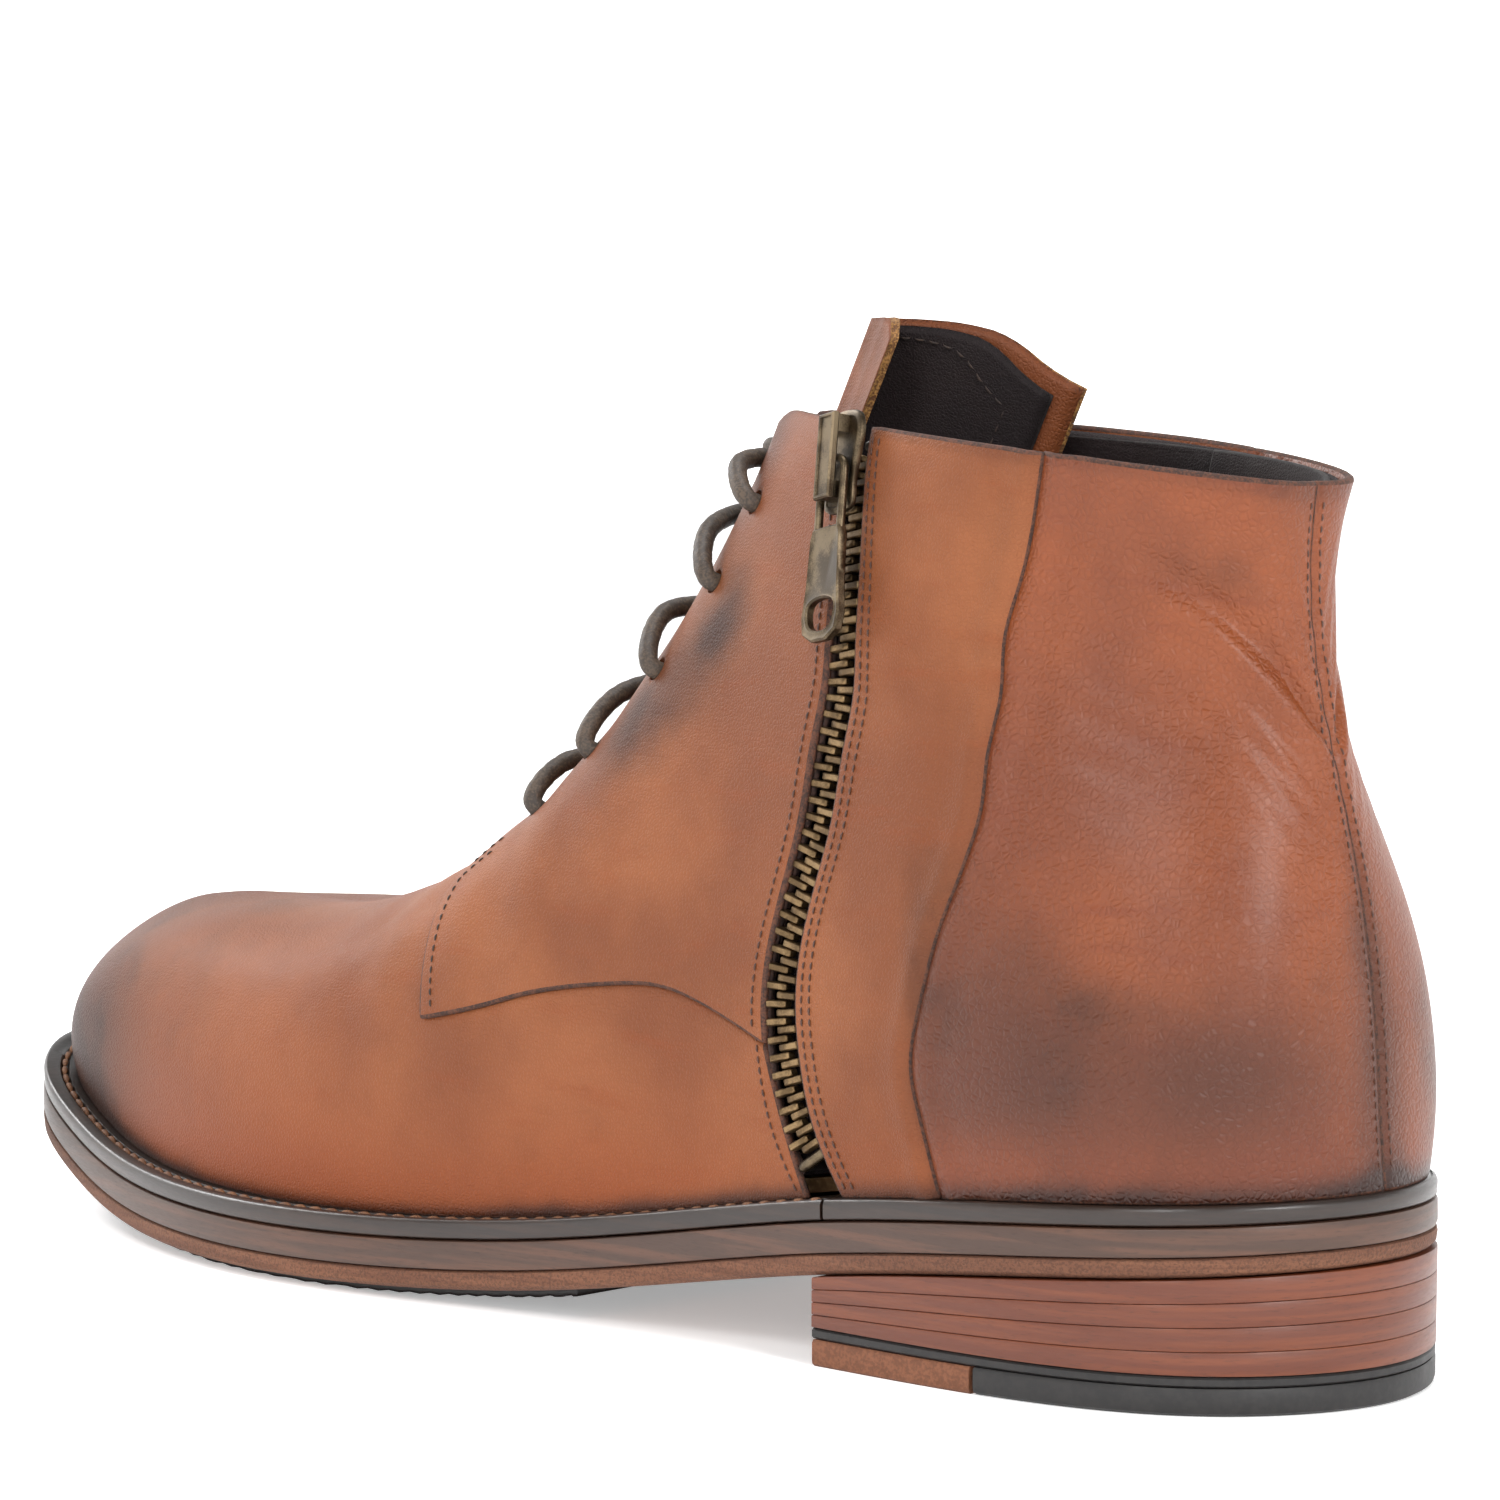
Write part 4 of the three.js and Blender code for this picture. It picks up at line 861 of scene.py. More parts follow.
@dataclass
class Pieces:
    """Collects points and faces, and hands them over as one object."""

    points: list = field(default_factory=list)
    faces: list = field(default_factory=list)
    kinds: list = field(default_factory=list)
    marks: dict = field(default_factory=dict)
    count: int = 0

    def add(self, points: np.ndarray, faces: list, kind: int = 0) -> None:
        """Adds a closed body.

        Args:
            points: Its points in millimetres.
            faces: Lists of point numbers.
            kind: Which of the object's materials its faces take.
        """
        self.points.append(np.asarray(points, float))
        self.faces.extend([[int(i) + self.count for i in face] for face in faces])
        self.kinds.extend([kind] * len(faces))
        self.count += len(points)

    def loft(self, rings: np.ndarray, closed: bool = False, kind: int = 0) -> None:
        """Adds a body swept through rings of equally many points.

        Args:
            rings: An array of rings, each an array of points.
            closed: Whether the last ring joins the first.
            kind: Which of the object's materials its faces take.
        """
        count, size = len(rings), len(rings[0])
        faces = wall_faces(count, size, closed)
        if not closed:
            faces.append([size - 1 - i for i in range(size)])
            faces.append([(count - 1) * size + i for i in range(size)])
        self.add(np.concatenate([np.asarray(ring, float) for ring in rings]), faces, kind)

    def build(
        self,
        name: str,
        last: Last,
        materials: list,
        slot: str,
        nodes: list[str],
        sharp: float = 0.0,
        body: Body = Body.BOOT,
    ) -> bpy.types.Object:
        """Makes the object, hides the CAD nodes that it replaces and puts it on its body.

        Args:
            name: The object's name.
            last: The last, for the move into the row frame.
            materials: Its materials, in the order of the kinds.
            slot: The record's material slot; not used.
            nodes: The CAD nodes that it replaces.
            sharp: Edges sharper than this angle in degrees stay hard; 0 keeps all smooth.
            body: The CAD body that it rides on.

        Returns:
            The object.
        """
        points = (np.concatenate(self.points) - last.shift) * MM
        mesh = bpy.data.meshes.new(name)
        mesh.from_pydata(points.tolist(), [], self.faces)
        for material in materials:
            mesh.materials.append(material)
        mesh.polygons.foreach_set("material_index", self.kinds)
        mesh.polygons.foreach_set("use_smooth", [True] * len(mesh.polygons))
        for key, value in self.marks.items():
            mark = mesh.attributes.new(key, "FLOAT", "POINT")
            mark.data.foreach_set("value", np.asarray(value, np.float32))
        mesh.update()
        item = placed(name, mesh)
        outward(item)
        if sharp:
            mesh.set_sharp_from_angle(angle=math.radians(sharp))
        if nodes:
            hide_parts(*nodes)
        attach(item, body.value)
        LOG.info("%s: %d points on %s", name, len(points), body.value)
        return item


def outward(item: bpy.types.Object) -> None:
    """Turns every closed body of an object so that its faces look outwards."""
    grid = bmesh.new()
    grid.from_mesh(item.data)
    bmesh.ops.recalc_face_normals(grid, faces=grid.faces)
    grid.to_mesh(item.data)
    grid.free()
    item.data.update()


def shell(
    outer: np.ndarray, inner: np.ndarray, faces: np.ndarray, bulge: float = 0.8, wall: int = 0
) -> tuple[Pieces, np.ndarray]:
    """A sheet of leather with rounded edges, from its two faces.

    Args:
        outer: Points of the outer face.
        inner: Points of the inner face, in the same order.
        faces: Quads on the outer face.
        bulge: How round the edges are: 1 is a half circle, 0 is flat.
        wall: Which material the edges take.

    Returns:
        The sheet, and for each of its points the number of the grid point that it came from.
    """
    keys = np.round(outer / 0.004).astype(np.int64)
    _, first, where = np.unique(keys, axis=0, return_index=True, return_inverse=True)
    where = where.reshape(-1)
    outer, inner = outer[first], inner[first]
    quads = where[faces]
    count = len(outer)
    ahead = np.stack([quads, np.roll(quads, -1, axis=1)], -1).reshape(-1, 2)
    ahead = ahead[ahead[:, 0] != ahead[:, 1]]
    codes = ahead[:, 0] * count + ahead[:, 1]
    open_edges = ahead[~np.isin(ahead[:, 1] * count + ahead[:, 0], codes)]
    thick = outer - inner
    half = np.linalg.norm(thick, axis=1, keepdims=True) / 2
    lift = unit(thick)
    away = np.zeros_like(outer)
    for a, b in open_edges:
        side = np.cross(outer[b] - outer[a], lift[a])
        side = side / max(np.linalg.norm(side), 1e-9)
        away[a] += side
        away[b] += side
    rim = np.unique(open_edges)
    away = unit(away - (away * lift).sum(-1, keepdims=True) * lift)
    angles = [math.pi / 4, math.pi / 2, 3 * math.pi / 4]
    rings = []
    for angle in angles:
        level = (outer + inner) / 2 + lift * half * math.cos(angle)
        rings.append((level + away * half * bulge * math.sin(angle))[rim])
    slots = np.full(count, -1)
    slots[rim] = np.arange(len(rim))
    made = Pieces()
    all_points = np.concatenate([outer, inner, *rings])
    body_faces, walls = [], []
    for quad in quads:
        ring = [int(quad[i]) for i in range(4) if quad[i] != quad[i - 1]]
        if len(ring) > 2 and len(set(ring)) == len(ring):
            body_faces.append(ring)
            body_faces.append([i + count for i in reversed(ring)])
    for a, b in open_edges:
        base = 2 * count
        steps_a = [a] + [base + k * len(rim) + slots[a] for k in range(3)] + [a + count]
        steps_b = [b] + [base + k * len(rim) + slots[b] for k in range(3)] + [b + count]
        for k in range(4):
            walls.append([steps_b[k], steps_a[k], steps_a[k + 1], steps_b[k + 1]])
    made.add(all_points, body_faces)
    made.faces.extend([[int(i) for i in face] for face in walls])
    made.kinds.extend([wall] * len(walls))
    source = np.concatenate([first, first, *[first[rim]] * 3])
    return made, source


def grid_faces(columns: int, rows: int) -> np.ndarray:
    """Quads of a grid whose points run along its columns."""
    c, r = np.meshgrid(np.arange(columns - 1), np.arange(rows - 1), indexing="ij")
    start = (c * rows + r).reshape(-1)
    return np.stack([start, start + rows, start + rows + 1, start + 1], -1)


def stacked(rings: list) -> Pieces:
    """A body from outlines above each other, with caps of strips that run across it."""
    size = len(rings[0])
    faces = wall_faces(len(rings), size)
    for base in (0, (len(rings) - 1) * size):
        for i in range((size - 1) // 2):
            face = [base + i, base + i + 1, base + size - 2 - i, base + size - 1 - i]
            faces.append(list(dict.fromkeys(face)))
    made = Pieces()
    made.add(np.concatenate(rings), [face for face in faces if len(face) > 2])
    return made


def at_run(place: float, run: np.ndarray, rows: np.ndarray) -> np.ndarray:
    """The row at a length along a line."""
    return np.array([np.interp(place, run, rows[:, k]) for k in range(3)])


def stitch_row(
    made: Pieces, path: np.ndarray, lifts: np.ndarray, pitch: float, long: float, wide: float
) -> None:
    """Adds a row of stitches along a path.

    Args:
        made: Where the stitches go.
        path: Points on the leather.
        lifts: The outward direction at each point.
        pitch: Distance from stitch to stitch.
        long: Length of the thread that shows.
        wide: Thickness of the thread.
    """
    run = run_of(path)
    count = max(int(run[-1] / pitch), 1)
    for i in range(count):
        place = (i + 0.5) * run[-1] / count
        centre = at_run(place, run, path)
        ahead = unit(at_run(place + 0.4, run, path) - at_run(place - 0.4, run, path))
        up = unit(at_run(place, run, lifts))
        side = np.cross(up, ahead)
        rings = []
        for share in (-1.0, -0.72, -0.25, 0.25, 0.72, 1.0):
            bow = math.sqrt(max(1 - share * share, 0.0))
            size = wide / 2 * max(bow, 0.25)
            middle = centre + ahead * share * long / 2 + up * (bow * wide * 0.42 - wide * 0.3)
            turns = [math.pi * k / 3 for k in range(6)]
            rings.append([middle + side * size * math.cos(t) + up * size * 0.8 * math.sin(t) for t in turns])
        made.loft(np.array(rings))


def tube(path: np.ndarray, radius: np.ndarray, sides: int) -> np.ndarray:
    """Rings of a round cord along a path, without twist.

    Args:
        path: Points along the middle.
        radius: The radius at every ring and side, or at every ring.
        sides: Points on each ring.

    Returns:
        The rings.
    """
    ahead = unit(np.gradient(path, axis=0))
    side = unit(np.cross(ahead[0], [0.3, 0.9, 0.2]))
    rings = []
    angles = np.linspace(0, 2 * math.pi, sides, endpoint=False)
    for i, point in enumerate(path):
        side = unit(side - (side @ ahead[i]) * ahead[i])
        other = np.cross(ahead[i], side)
        size = np.broadcast_to(radius[i], (sides,))[:, None]
        rings.append(point + size * (np.cos(angles)[:, None] * side + np.sin(angles)[:, None] * other))
    return np.array(rings)


def even(path: np.ndarray, step: float) -> np.ndarray:
    """A path resampled at even steps."""
    run = run_of(path)
    places = np.linspace(0, run[-1], max(int(run[-1] / step), 2))
    return np.stack([np.interp(places, run, path[:, k]) for k in range(3)], -1)


# ------------------------------------------------------------------------------------ sole
@dataclass
class Sole:
    """Outsole, midsole, welt, heel and what lies between them."""

    last: Last
    finishes: Finishes
    outsole_share: float = 0.28
    midsole_share: float = 0.7
    welt_end: float = 5.42
    top_lift_high: float = 4.3
    black_top: float = 6.0
    joint_x: float = 251.0
    lifts: int = 4
    stitch_pitch: float = 3.7
    samples: int = 150

    def outline(self, start: float, end: float, inset: float) -> np.ndarray:
        """Points round the sole edge between two edge positions, moved in."""
        return self.last.edge_at(np.linspace(start, end, 2 * self.samples + 1), inset)[0]

    def layer(self, name: str, levels: list, ends: tuple, material: object, slot: str, nodes: list) -> None:
        """Builds a layer of the sole as a stack of outlines with flat or curved caps.

        Args:
            name: The object's name.
            levels: Pairs of inset and a height that depends on x, from below to above.
            ends: First and last edge position; a heel piece starts at the breast.
            material: Its material.
            slot: The record's material slot.
            nodes: The CAD nodes that it replaces.
        """
        rings = []
        for inset, height in levels:
            xy = self.outline(*ends, inset)
            if ends[1] - ends[0] < ROUND - 0.01:
                xy = np.concatenate([xy, self.chord(xy)])
            rings.append(np.concatenate([xy, height(xy[:, 0])[:, None]], -1))
        made = stacked(rings)
        made.marks["burnish"] = ramp(np.concatenate(rings)[:, 0], 60, 0) * 0.9
        made.build(name, self.last, [material], slot, nodes, sharp=38)

    def chord(self, xy: np.ndarray) -> np.ndarray:
        """Points across the breast of the heel, from the outer corner back to the inner one."""
        shares = np.linspace(0, 1, 14)[1:-1, None]
        return xy[-1] + (xy[0] - xy[-1]) * shares

    def at_share(self, share: float, lift: float = 0.0) -> object:
        """A height that follows a share of the sole's thickness."""
        return lambda x: self.last.sole_height(x, share) + lift

    def edge_of(self, x: float, outer: bool) -> float:
        """The edge position where the sole's edge passes x behind the waist."""
        places = np.linspace(4.5, HEEL_BACK, 900)
        places = ROUND - places if outer else places
        found = self.last.edge_at(places, 0.0)[0][:, 0]
        return float(np.interp(x, found, places))

    def build(self) -> None:
        """Builds every layer."""
        full = (0.0, float(ROUND))
        out, mid = self.outsole_share, self.midsole_share
        at = self.at_share
        levels = [(2.2, at(0.0)), (0.9, at(0.0, 0.25)), (0.25, at(0.0, 0.9))]
        levels += [(0.1, at(out, -0.9)), (0.25, at(out, -0.25)), (0.9, at(out, 0.05))]
        self.layer("outsole_edge", levels, full, self.finishes.bottom, "outsole_leather", ["outsole"])
        levels = [(0.9, at(out, 0.1)), (0.3, at(out, 0.3)), (0.1, at(out, 0.9)), (0.15, at(mid, -0.6))]
        levels += [(0.35, at(mid, -0.12)), (0.8, at(mid, 0.04))]
        self.layer("midsole_layer", levels, full, self.finishes.middle, "sole_edge", ["midsole"])
        self.welt("welt_strip", -self.welt_end, self.welt_end, ["welt"])
        rand_from = self.welt_end + 0.012
        self.welt("heel_rand_strip", rand_from, ROUND - rand_from, ["heel_rand"])
        self.heel()
        self.half_sole()
        self.inside()

    def welt(self, name: str, start: float, end: float, nodes: list) -> None:
        """Builds the welt or the rand as a band with a stitch groove."""
        heel = end - start < 8
        low = self.at_share(self.midsole_share, 0.3)
        top = self.at_share(1.0)
        margin = np.array([*self.last.margin, self.last.margin[0]])
        places = np.linspace(start, end, 420 if not heel else 220)
        gap = np.interp(np.mod(places, ROUND), np.arange(ROUND + 1), margin)
        groove = np.clip(gap * 0.62, 0.9, 4.0)
        rings = []
        deep = 0.75 if not heel else 0.25
        shape = [(0.55, 0, 0.0), (0.25, 0, 0.35), (0.2, 1, -0.9), (0.45, 1, -0.3), (0.9, 1, 0.0)]
        for inset, upper, lift in shape:
            rings.append(self._band(places, np.full(places.shape, inset), top if upper else low, lift))
        wide = 0.85 if not heel else 0.4
        for share, lift in ((-1.0, 0.0), (-0.55, -deep), (0.55, -deep), (1.0, -0.05)):
            inset = np.maximum(groove + share * wide, 1.0 + (share + 1) * 0.05)
            rings.append(self._band(places, inset, top, lift))
        rings.append(self._band(places, np.maximum(gap + 3, 7.0), top, -0.05))
        rings.append(self._band(places, np.maximum(gap + 3, 7.0), low, 0.0))
        rows = np.stack(rings, 1)
        made = Pieces()
        made.loft(rows)
        toward_toe = ramp(np.abs(places - HEEL_BACK), 5.2, 8)
        made.marks["burnish"] = np.repeat(0.35 + 0.5 * toward_toe, rows.shape[1])
        made.build(name, self.last, [self.finishes.welt], "sole_edge", nodes, sharp=50)
        if heel:
            return
        path = self._band(places, np.maximum(groove, 1.2), top, -0.35)
        lifts = np.tile([0.0, 0.0, 1.0], (len(path), 1))
        seam = Pieces()
        stitch_row(seam, path, lifts, self.stitch_pitch, 3.3, 1.25)
        seam.build("welt_stitches", self.last, [self.finishes.welt_thread], "lace", [])

    def _band(self, places: np.ndarray, inset: np.ndarray, height: object, lift: float) -> np.ndarray:
        """A line along the sole edge at an inset and a height."""
        xy = self.last.edge_at(places, inset)[0]
        return np.concatenate([xy, (height(xy[:, 0]) + lift)[:, None]], -1)

    def heel(self) -> None:
        """Builds the stacked heel, its black layer and the two top lift halves."""
        ends = (self.edge_of(self.last.breast_x, False), self.edge_of(self.last.breast_x, True))
        base = self.black_top + 0.1
        bottom = self.last._under

        def part(share: float, lift: float) -> object:
            """A height at a share of the stack, moved by a lift."""
            return lambda x: base + (bottom(x)[..., 0] - 0.1 - base) * share + lift

        for i in range(self.lifts):
            low, high = i / self.lifts, (i + 1) / self.lifts
            levels = [(0.5, part(low, 0.02)), (0.16, part(low, 0.05)), (0.05, part(low, 0.2))]
            levels += [(0.05, part(high, -0.2)), (0.16, part(high, -0.05)), (0.5, part(high, -0.02))]
            name = f"heel_lift_{i + 1}"
            self.layer(f"stack_lift_{i + 1}", levels, ends, self.finishes.stack, "heel_stack", [name])
        levels = [(0.5, same(self.top_lift_high + 0.08)), (0.15, same(self.top_lift_high + 0.4))]
        levels += [(0.15, same(self.black_top - 0.35)), (0.5, same(self.black_top))]
        self.layer("black_layer", levels, ends, self.finishes.rubber, "rubber", ["heel_black_layer"])
        joint = (self.edge_of(self.joint_x, False), self.edge_of(self.joint_x, True))
        levels = [(1.2, same(0.0)), (0.3, same(0.5)), (0.1, same(1.2)), (0.1, same(3.8)), (0.4, same(4.25))]
        self.layer("top_lift_rear", levels, joint, self.finishes.rubber, "rubber", ["top_lift_rubber"])
        self.insert(ends, joint)

    def insert(self, ends: tuple, joint: tuple) -> None:
        """Builds the leather half of the top lift, in front of the rubber."""
        places = np.linspace(0, 1, 40)
        rings = []
        for inset, z in ((0.8, 0.0), (0.3, 0.4), (0.2, 1.0), (0.2, 3.7), (0.5, 4.2)):
            near = self.last.edge_at(ends[0] + (joint[0] - 0.02 - ends[0]) * places, inset)[0]
            far = self.last.edge_at(ends[1] + (joint[1] + 0.02 - ends[1]) * places[::-1], inset)[0]
            xy = np.concatenate([near, far])
            rings.append(np.concatenate([xy, np.full((len(xy), 1), z)], -1))
        made = stacked(rings)
        made.marks["burnish"] = np.zeros(made.count)
        nodes = ["top_lift_leather"]
        made.build("top_lift_front", self.last, [self.finishes.insert], "outsole_leather", nodes, 38)

    def half_sole(self) -> None:
        """Builds the rubber half sole under the ball, with a shallow tread."""
        places = np.linspace(0, 1, 90)
        x = 24 + 141 * (1 - np.cos(math.pi * places)) / 2
        lines = [self.last.edge_at(np.linspace(0, HEEL_BACK, 1200), 4.5)[0]]
        lines.append(self.last.edge_at(np.linspace(ROUND, HEEL_BACK, 1200), 4.5)[0])
        near, far = (np.interp(x, line[:, 0], line[:, 1]) for line in lines)
        across = np.linspace(0, 1, 25)
        top, under = [], []
        for share in across:
            y = near + (far - near) * share
            tread = 0.25 * (np.sin(x * 1.55) > 0.2)
            low = np.maximum(self.last.sole_height(x, 0) - 1.4 + tread, 0.0)
            top.append(np.stack([x, y, self.last.sole_height(x, 0) - 0.1], -1))
            under.append(np.stack([x, y, low], -1))
        top, under = np.array(top), np.array(under)
        faces = grid_faces(*top.shape[:2])
        made, _ = shell(top.reshape(-1, 3), under.reshape(-1, 3), faces, 0.5)
        made.build("rubber_half_sole", self.last, [self.finishes.rubber], "rubber", ["half_sole"], 40)

    def inside(self) -> None:
        """Builds the sock liner and dresses the CAD pieces that stay as they are."""
        shape = ((14.8, 2.65), (14.2, 3.0), (14.8, 3.6))
        levels = [(inset, self.at_share(1.0, lift)) for inset, lift in shape]
        full = (0.0, float(ROUND))
        self.layer("sock_liner_leather", levels, full, self.finishes.lining, "lining", ["sock_liner"])
        finish = {
            "insole": self.finishes.insole,
            "cork_filler": self.finishes.cork,
            "shank": self.finishes.steel,
            "toe_puff": self.finishes.board,
            "heel_stiffener": self.finishes.board,
        }
        for node, material in finish.items():
            item = frame["nodes"][node]
            item.data.materials.clear()
            item.data.materials.append(material)
            LOG.info("%s: CAD piece with a new finish", node)


# ------------------------------------------------------------------------------------ upper
ZIP_LINE = (
    (0.02, 5.4), (0.07, 5.345), (0.13, 5.29), (0.2, 5.25), (0.26, 5.235), (0.32, 5.26), (0.385, 5.33),
    (0.45, 5.41), (0.53, 5.475), (0.6, 5.535), (0.66, 5.553), (0.73, 5.577), (0.8, 5.598), (0.9, 5.619),
    (1, 5.6235),
)  # fmt: skip
REAR_SEAM = (
    (0.02, 5.85), (0.115, 5.8), (0.18, 5.775), (0.26, 5.83), (0.34, 5.91), (0.44, 6.04), (0.51, 6.12),
    (0.58, 6.16), (0.67, 6.23), (0.74, 6.25), (0.83, 6.31), (1, 6.35),
)  # fmt: skip
QUARTER_LOW = (
    (3.77, 0.355), (3.97, 0.35), (4.16, 0.348), (4.53, 0.326), (4.74, 0.306), (4.87, 0.284),
    (5.01, 0.256), (5.15, 0.222),
)  # fmt: skip
OUTER_QUARTER_LOW = (
    (3.77, 0.355), (3.97, 0.352), (4.16, 0.35), (4.53, 0.33), (4.87, 0.3), (5.2, 0.26), (5.5, 0.228),
    (5.765, 0.205),
)  # fmt: skip
FRONT_EDGE = ((3.77, 0.355), (3.72, 0.52), (3.68, 0.64))
FACING = ((3.74, 15), (3.9, 13), (4.2, 12), (4.5, 10), (4.75, 7), (4.95, 5))
EYELETS = ((3.82, 23), (4.06, 22), (4.36, 20.5), (4.62, 17), (4.83, 13.5))


@dataclass
class Upper:
    """The leather panels of the boot, their linings and their seams."""

    last: Last
    finishes: Finishes
    bottom: float = 0.004
    rim: float = 0.998
    zip_opening: float = 3.9
    seam_gap: float = 0.12
    lap: float = 3.5
    stitch_pitch: float = 1.75
    stitch_long: float = 1.25
    stitch_wide: float = 0.42

    def __post_init__(self) -> None:
        """Builds the lines of the zip and the rear seam."""
        self.zip_curve = Curve([pair[0] for pair in ZIP_LINE], [pair[1] for pair in ZIP_LINE])
        self.seam_curve = Curve([pair[0] for pair in REAR_SEAM], [pair[1] for pair in REAR_SEAM])

    def beside(self, curve: Curve, share: np.ndarray, reach: float) -> np.ndarray:
        """Positions beside a line on the upper, by height share."""
        share = np.asarray(share, float)
        return self.last.shifted(curve(share)[..., 0], share, reach)

    def line(self, curve: Curve, reach: float) -> object:
        """A function from height share to the position beside a line on the upper."""
        return lambda share: self.beside(curve, share, reach)

    # ---- relief and colour over the surface
    def relief(self, position: np.ndarray, share: np.ndarray) -> np.ndarray:
        """How far creases and soft folds move the leather outwards, in millimetres."""
        near = self.last.from_toe(position)
        inner = np.mod(position, ROUND) < HEEL_BACK
        fold_place = np.interp(near, [6.2, 6.74, 7.07, 7.4, 7.75, 8], [0.9, 0.875, 0.835, 0.785, 0.72, 0.68])
        away = (share - fold_place) * 110
        strength = np.where(inner, 1.0, 0.75) * ramp(near, 6.5, 7.05) * ramp(near, 8.0, 7.75)
        fold = strength * (0.95 * bell(away + 3.6, 3.4) - 1.15 * bell(away - 0.6, 2.6))
        fold += strength * 0.5 * bell(away - 6.5, 3.5)
        behind = ramp(near, 6.35, 6.6)
        ripple = 0.12 * behind * np.sin(away * 0.9 + near * 7)
        ripple = ripple * ramp(share, 0.45, 0.7) * ramp(share, 1.0, 0.85)
        dent = -0.5 * behind * np.exp(-(((near - 6.7) / 0.22) ** 2) - ((share - 0.62) / 0.12) ** 2)
        line = self.last.surface(self.seam_curve(share)[..., 0], share)
        here = self.last.surface(np.where(inner, position, ROUND - position), share)
        gap = np.linalg.norm(here - line, axis=-1)
        welted = 0.4 * bell(gap - 2.6, 1.7) - 0.2 * bell(gap - 6.5, 2.5)
        flex = 0.22 * np.sin(near * 21 + share * 5) * ramp(near, 3.0, 3.5) * ramp(near, 4.7, 4.0)
        flex *= ramp(share, 0.2, 0.5) * ramp(share, 1.0, 0.8)
        soft = 0.25 * np.sin(near * 4.1 + share * 9) * ramp(share, 0.1, 0.3) * ramp(share, 1.0, 0.85)
        return fold + ripple + dent + flex + welted * ramp(near, 5.0, 5.5) + soft * ramp(near, 4.6, 5.2)

    def marks(self, points: np.ndarray, position: np.ndarray, share: np.ndarray) -> dict:
        """Burnish, with some painted shade, and warmth at points of the upper.

        Args:
            points: Points in millimetres.
            position: Their edge positions.
            share: Their height shares.

        Returns:
            The two marks by name.
        """
        x, z = points[:, 0], points[:, 2]
        near = self.last.from_toe(position)
        toe = ramp(x, 80, 20) * (0.35 + 0.5 * ramp(z, 62, 34))
        toe += 0.18 * ramp(x, 120, 60) * ramp(share, 0.4, 0.95)
        feather = 0.75 * bell(share, 0.028)
        rear_zone = ((near - 7.05) / 0.75) ** 2 + ((share - 0.17) / 0.14) ** 2
        rear = 0.66 * np.exp(-rear_zone) + 0.5 * ramp(near, 7.7, 8.0) * ramp(share, 0.75, 0.4)
        low = ramp(share, 0.55, 0.25) * ramp(share, 0.0, 0.15)
        rear += 0.45 * ramp(near, 6.75, 6.2) * ramp(near, 5.7, 5.85) * low
        # painted shade: a dark patch in the fold valley near the top of the rear panel, added to the burnish
        rear += 0.3 * np.exp(-(((near - 6.95) / 0.34) ** 2) - ((share - 0.89) / 0.045) ** 2)
        lace = 0.62 * bell(share - 0.66, 0.085) * ramp(near, 4.1, 4.5) * ramp(near, 5.2, 4.85)
        lace += 0.6 * ramp(share, 0.72, 0.93) * ramp(near, 3.5, 4.1) * ramp(near, 5.2, 5.0)
        seam = 0.35 * bell(share - 0.995, 0.012) * ramp(near, 5.0, 5.1)
        burnish = np.clip(toe + feather + rear + lace + seam, 0, 1)
        warmth = 0.85 * bell(share, 0.16) * ramp(near, 1.6, 2.8) * ramp(near, 5.4, 4.4)
        warmth += 0.4 * bell(share, 0.09) * ramp(near, 4.4, 5.4)
        warmth += 0.3 * ramp(near, 3.9, 3.0) * ramp(share, 0.9, 0.3)
        return {"burnish": burnish, "warmth": np.clip(warmth, 0, 1)}

    def panel(
        self,
        name: str,
        places: tuple,
        layer: tuple,
        material: object,
        nodes: list,
        edge: object = None,
        drop: np.ndarray | None = None,
        slot: str = "upper_leather",
        holes: list | None = None,
    ) -> bpy.types.Object:
        """Builds a leather panel over a grid of surface places.

        Args:
            name: The object's name.
            places: Edge positions and height shares, two grids.
            layer: Offsets of its outer and inner face.
            material: The leather.
            nodes: The CAD nodes that it replaces.
            edge: The material of its edges, or None for the leather.
            drop: How far each grid point sinks below the layer, or None.
            slot: The record's material slot.
            holes: Cutters for the eyelet holes, or None.

        Returns:
            The object.
        """
        position, share = places
        drop = np.zeros(position.shape) if drop is None else drop
        rise = self.relief(position, share) - drop
        outer = self.last.offset(position, share, layer[0] + rise)
        inner = self.last.offset(position, share, layer[1] + rise)
        faces = grid_faces(*position.shape)
        made, source = shell(outer.reshape(-1, 3), inner.reshape(-1, 3), faces, 0.8, 1 if edge else 0)
        points = np.concatenate(made.points)
        made.marks = self.marks(points, position.reshape(-1)[source], share.reshape(-1)[source])
        materials = [material, edge] if edge else [material]
        item = made.build(name, self.last, materials, slot, nodes)
        if holes:
            self.pierce(item, holes)
        return item

    def pierce(self, item: bpy.types.Object, holes: list) -> None:
        """Cuts round holes through a panel.

        Args:
            item: The panel.
            holes: Pairs of end points of each hole's axis, in millimetres.
        """
        cutter = Pieces()
        for start, end in holes:
            path = np.linspace(start, end, 3)
            cutter.loft(tube(path, np.full(3, 2.1), 20))
        points = (np.concatenate(cutter.points) - self.last.shift) * MM
        mesh = bpy.data.meshes.new("eyelet_cutter")
        mesh.from_pydata(points.tolist(), [], cutter.faces)
        tool = placed("eyelet_cutter", mesh)
        outward(tool)
        modifier = item.modifiers.new("holes", "BOOLEAN")
        modifier.operation = "DIFFERENCE"
        modifier.solver = "EXACT"
        modifier.object = tool
        with bpy.context.temp_override(object=item, active_object=item, selected_objects=[item]):
            bpy.ops.object.modifier_apply(modifier=modifier.name)
        bpy.data.objects.remove(tool)

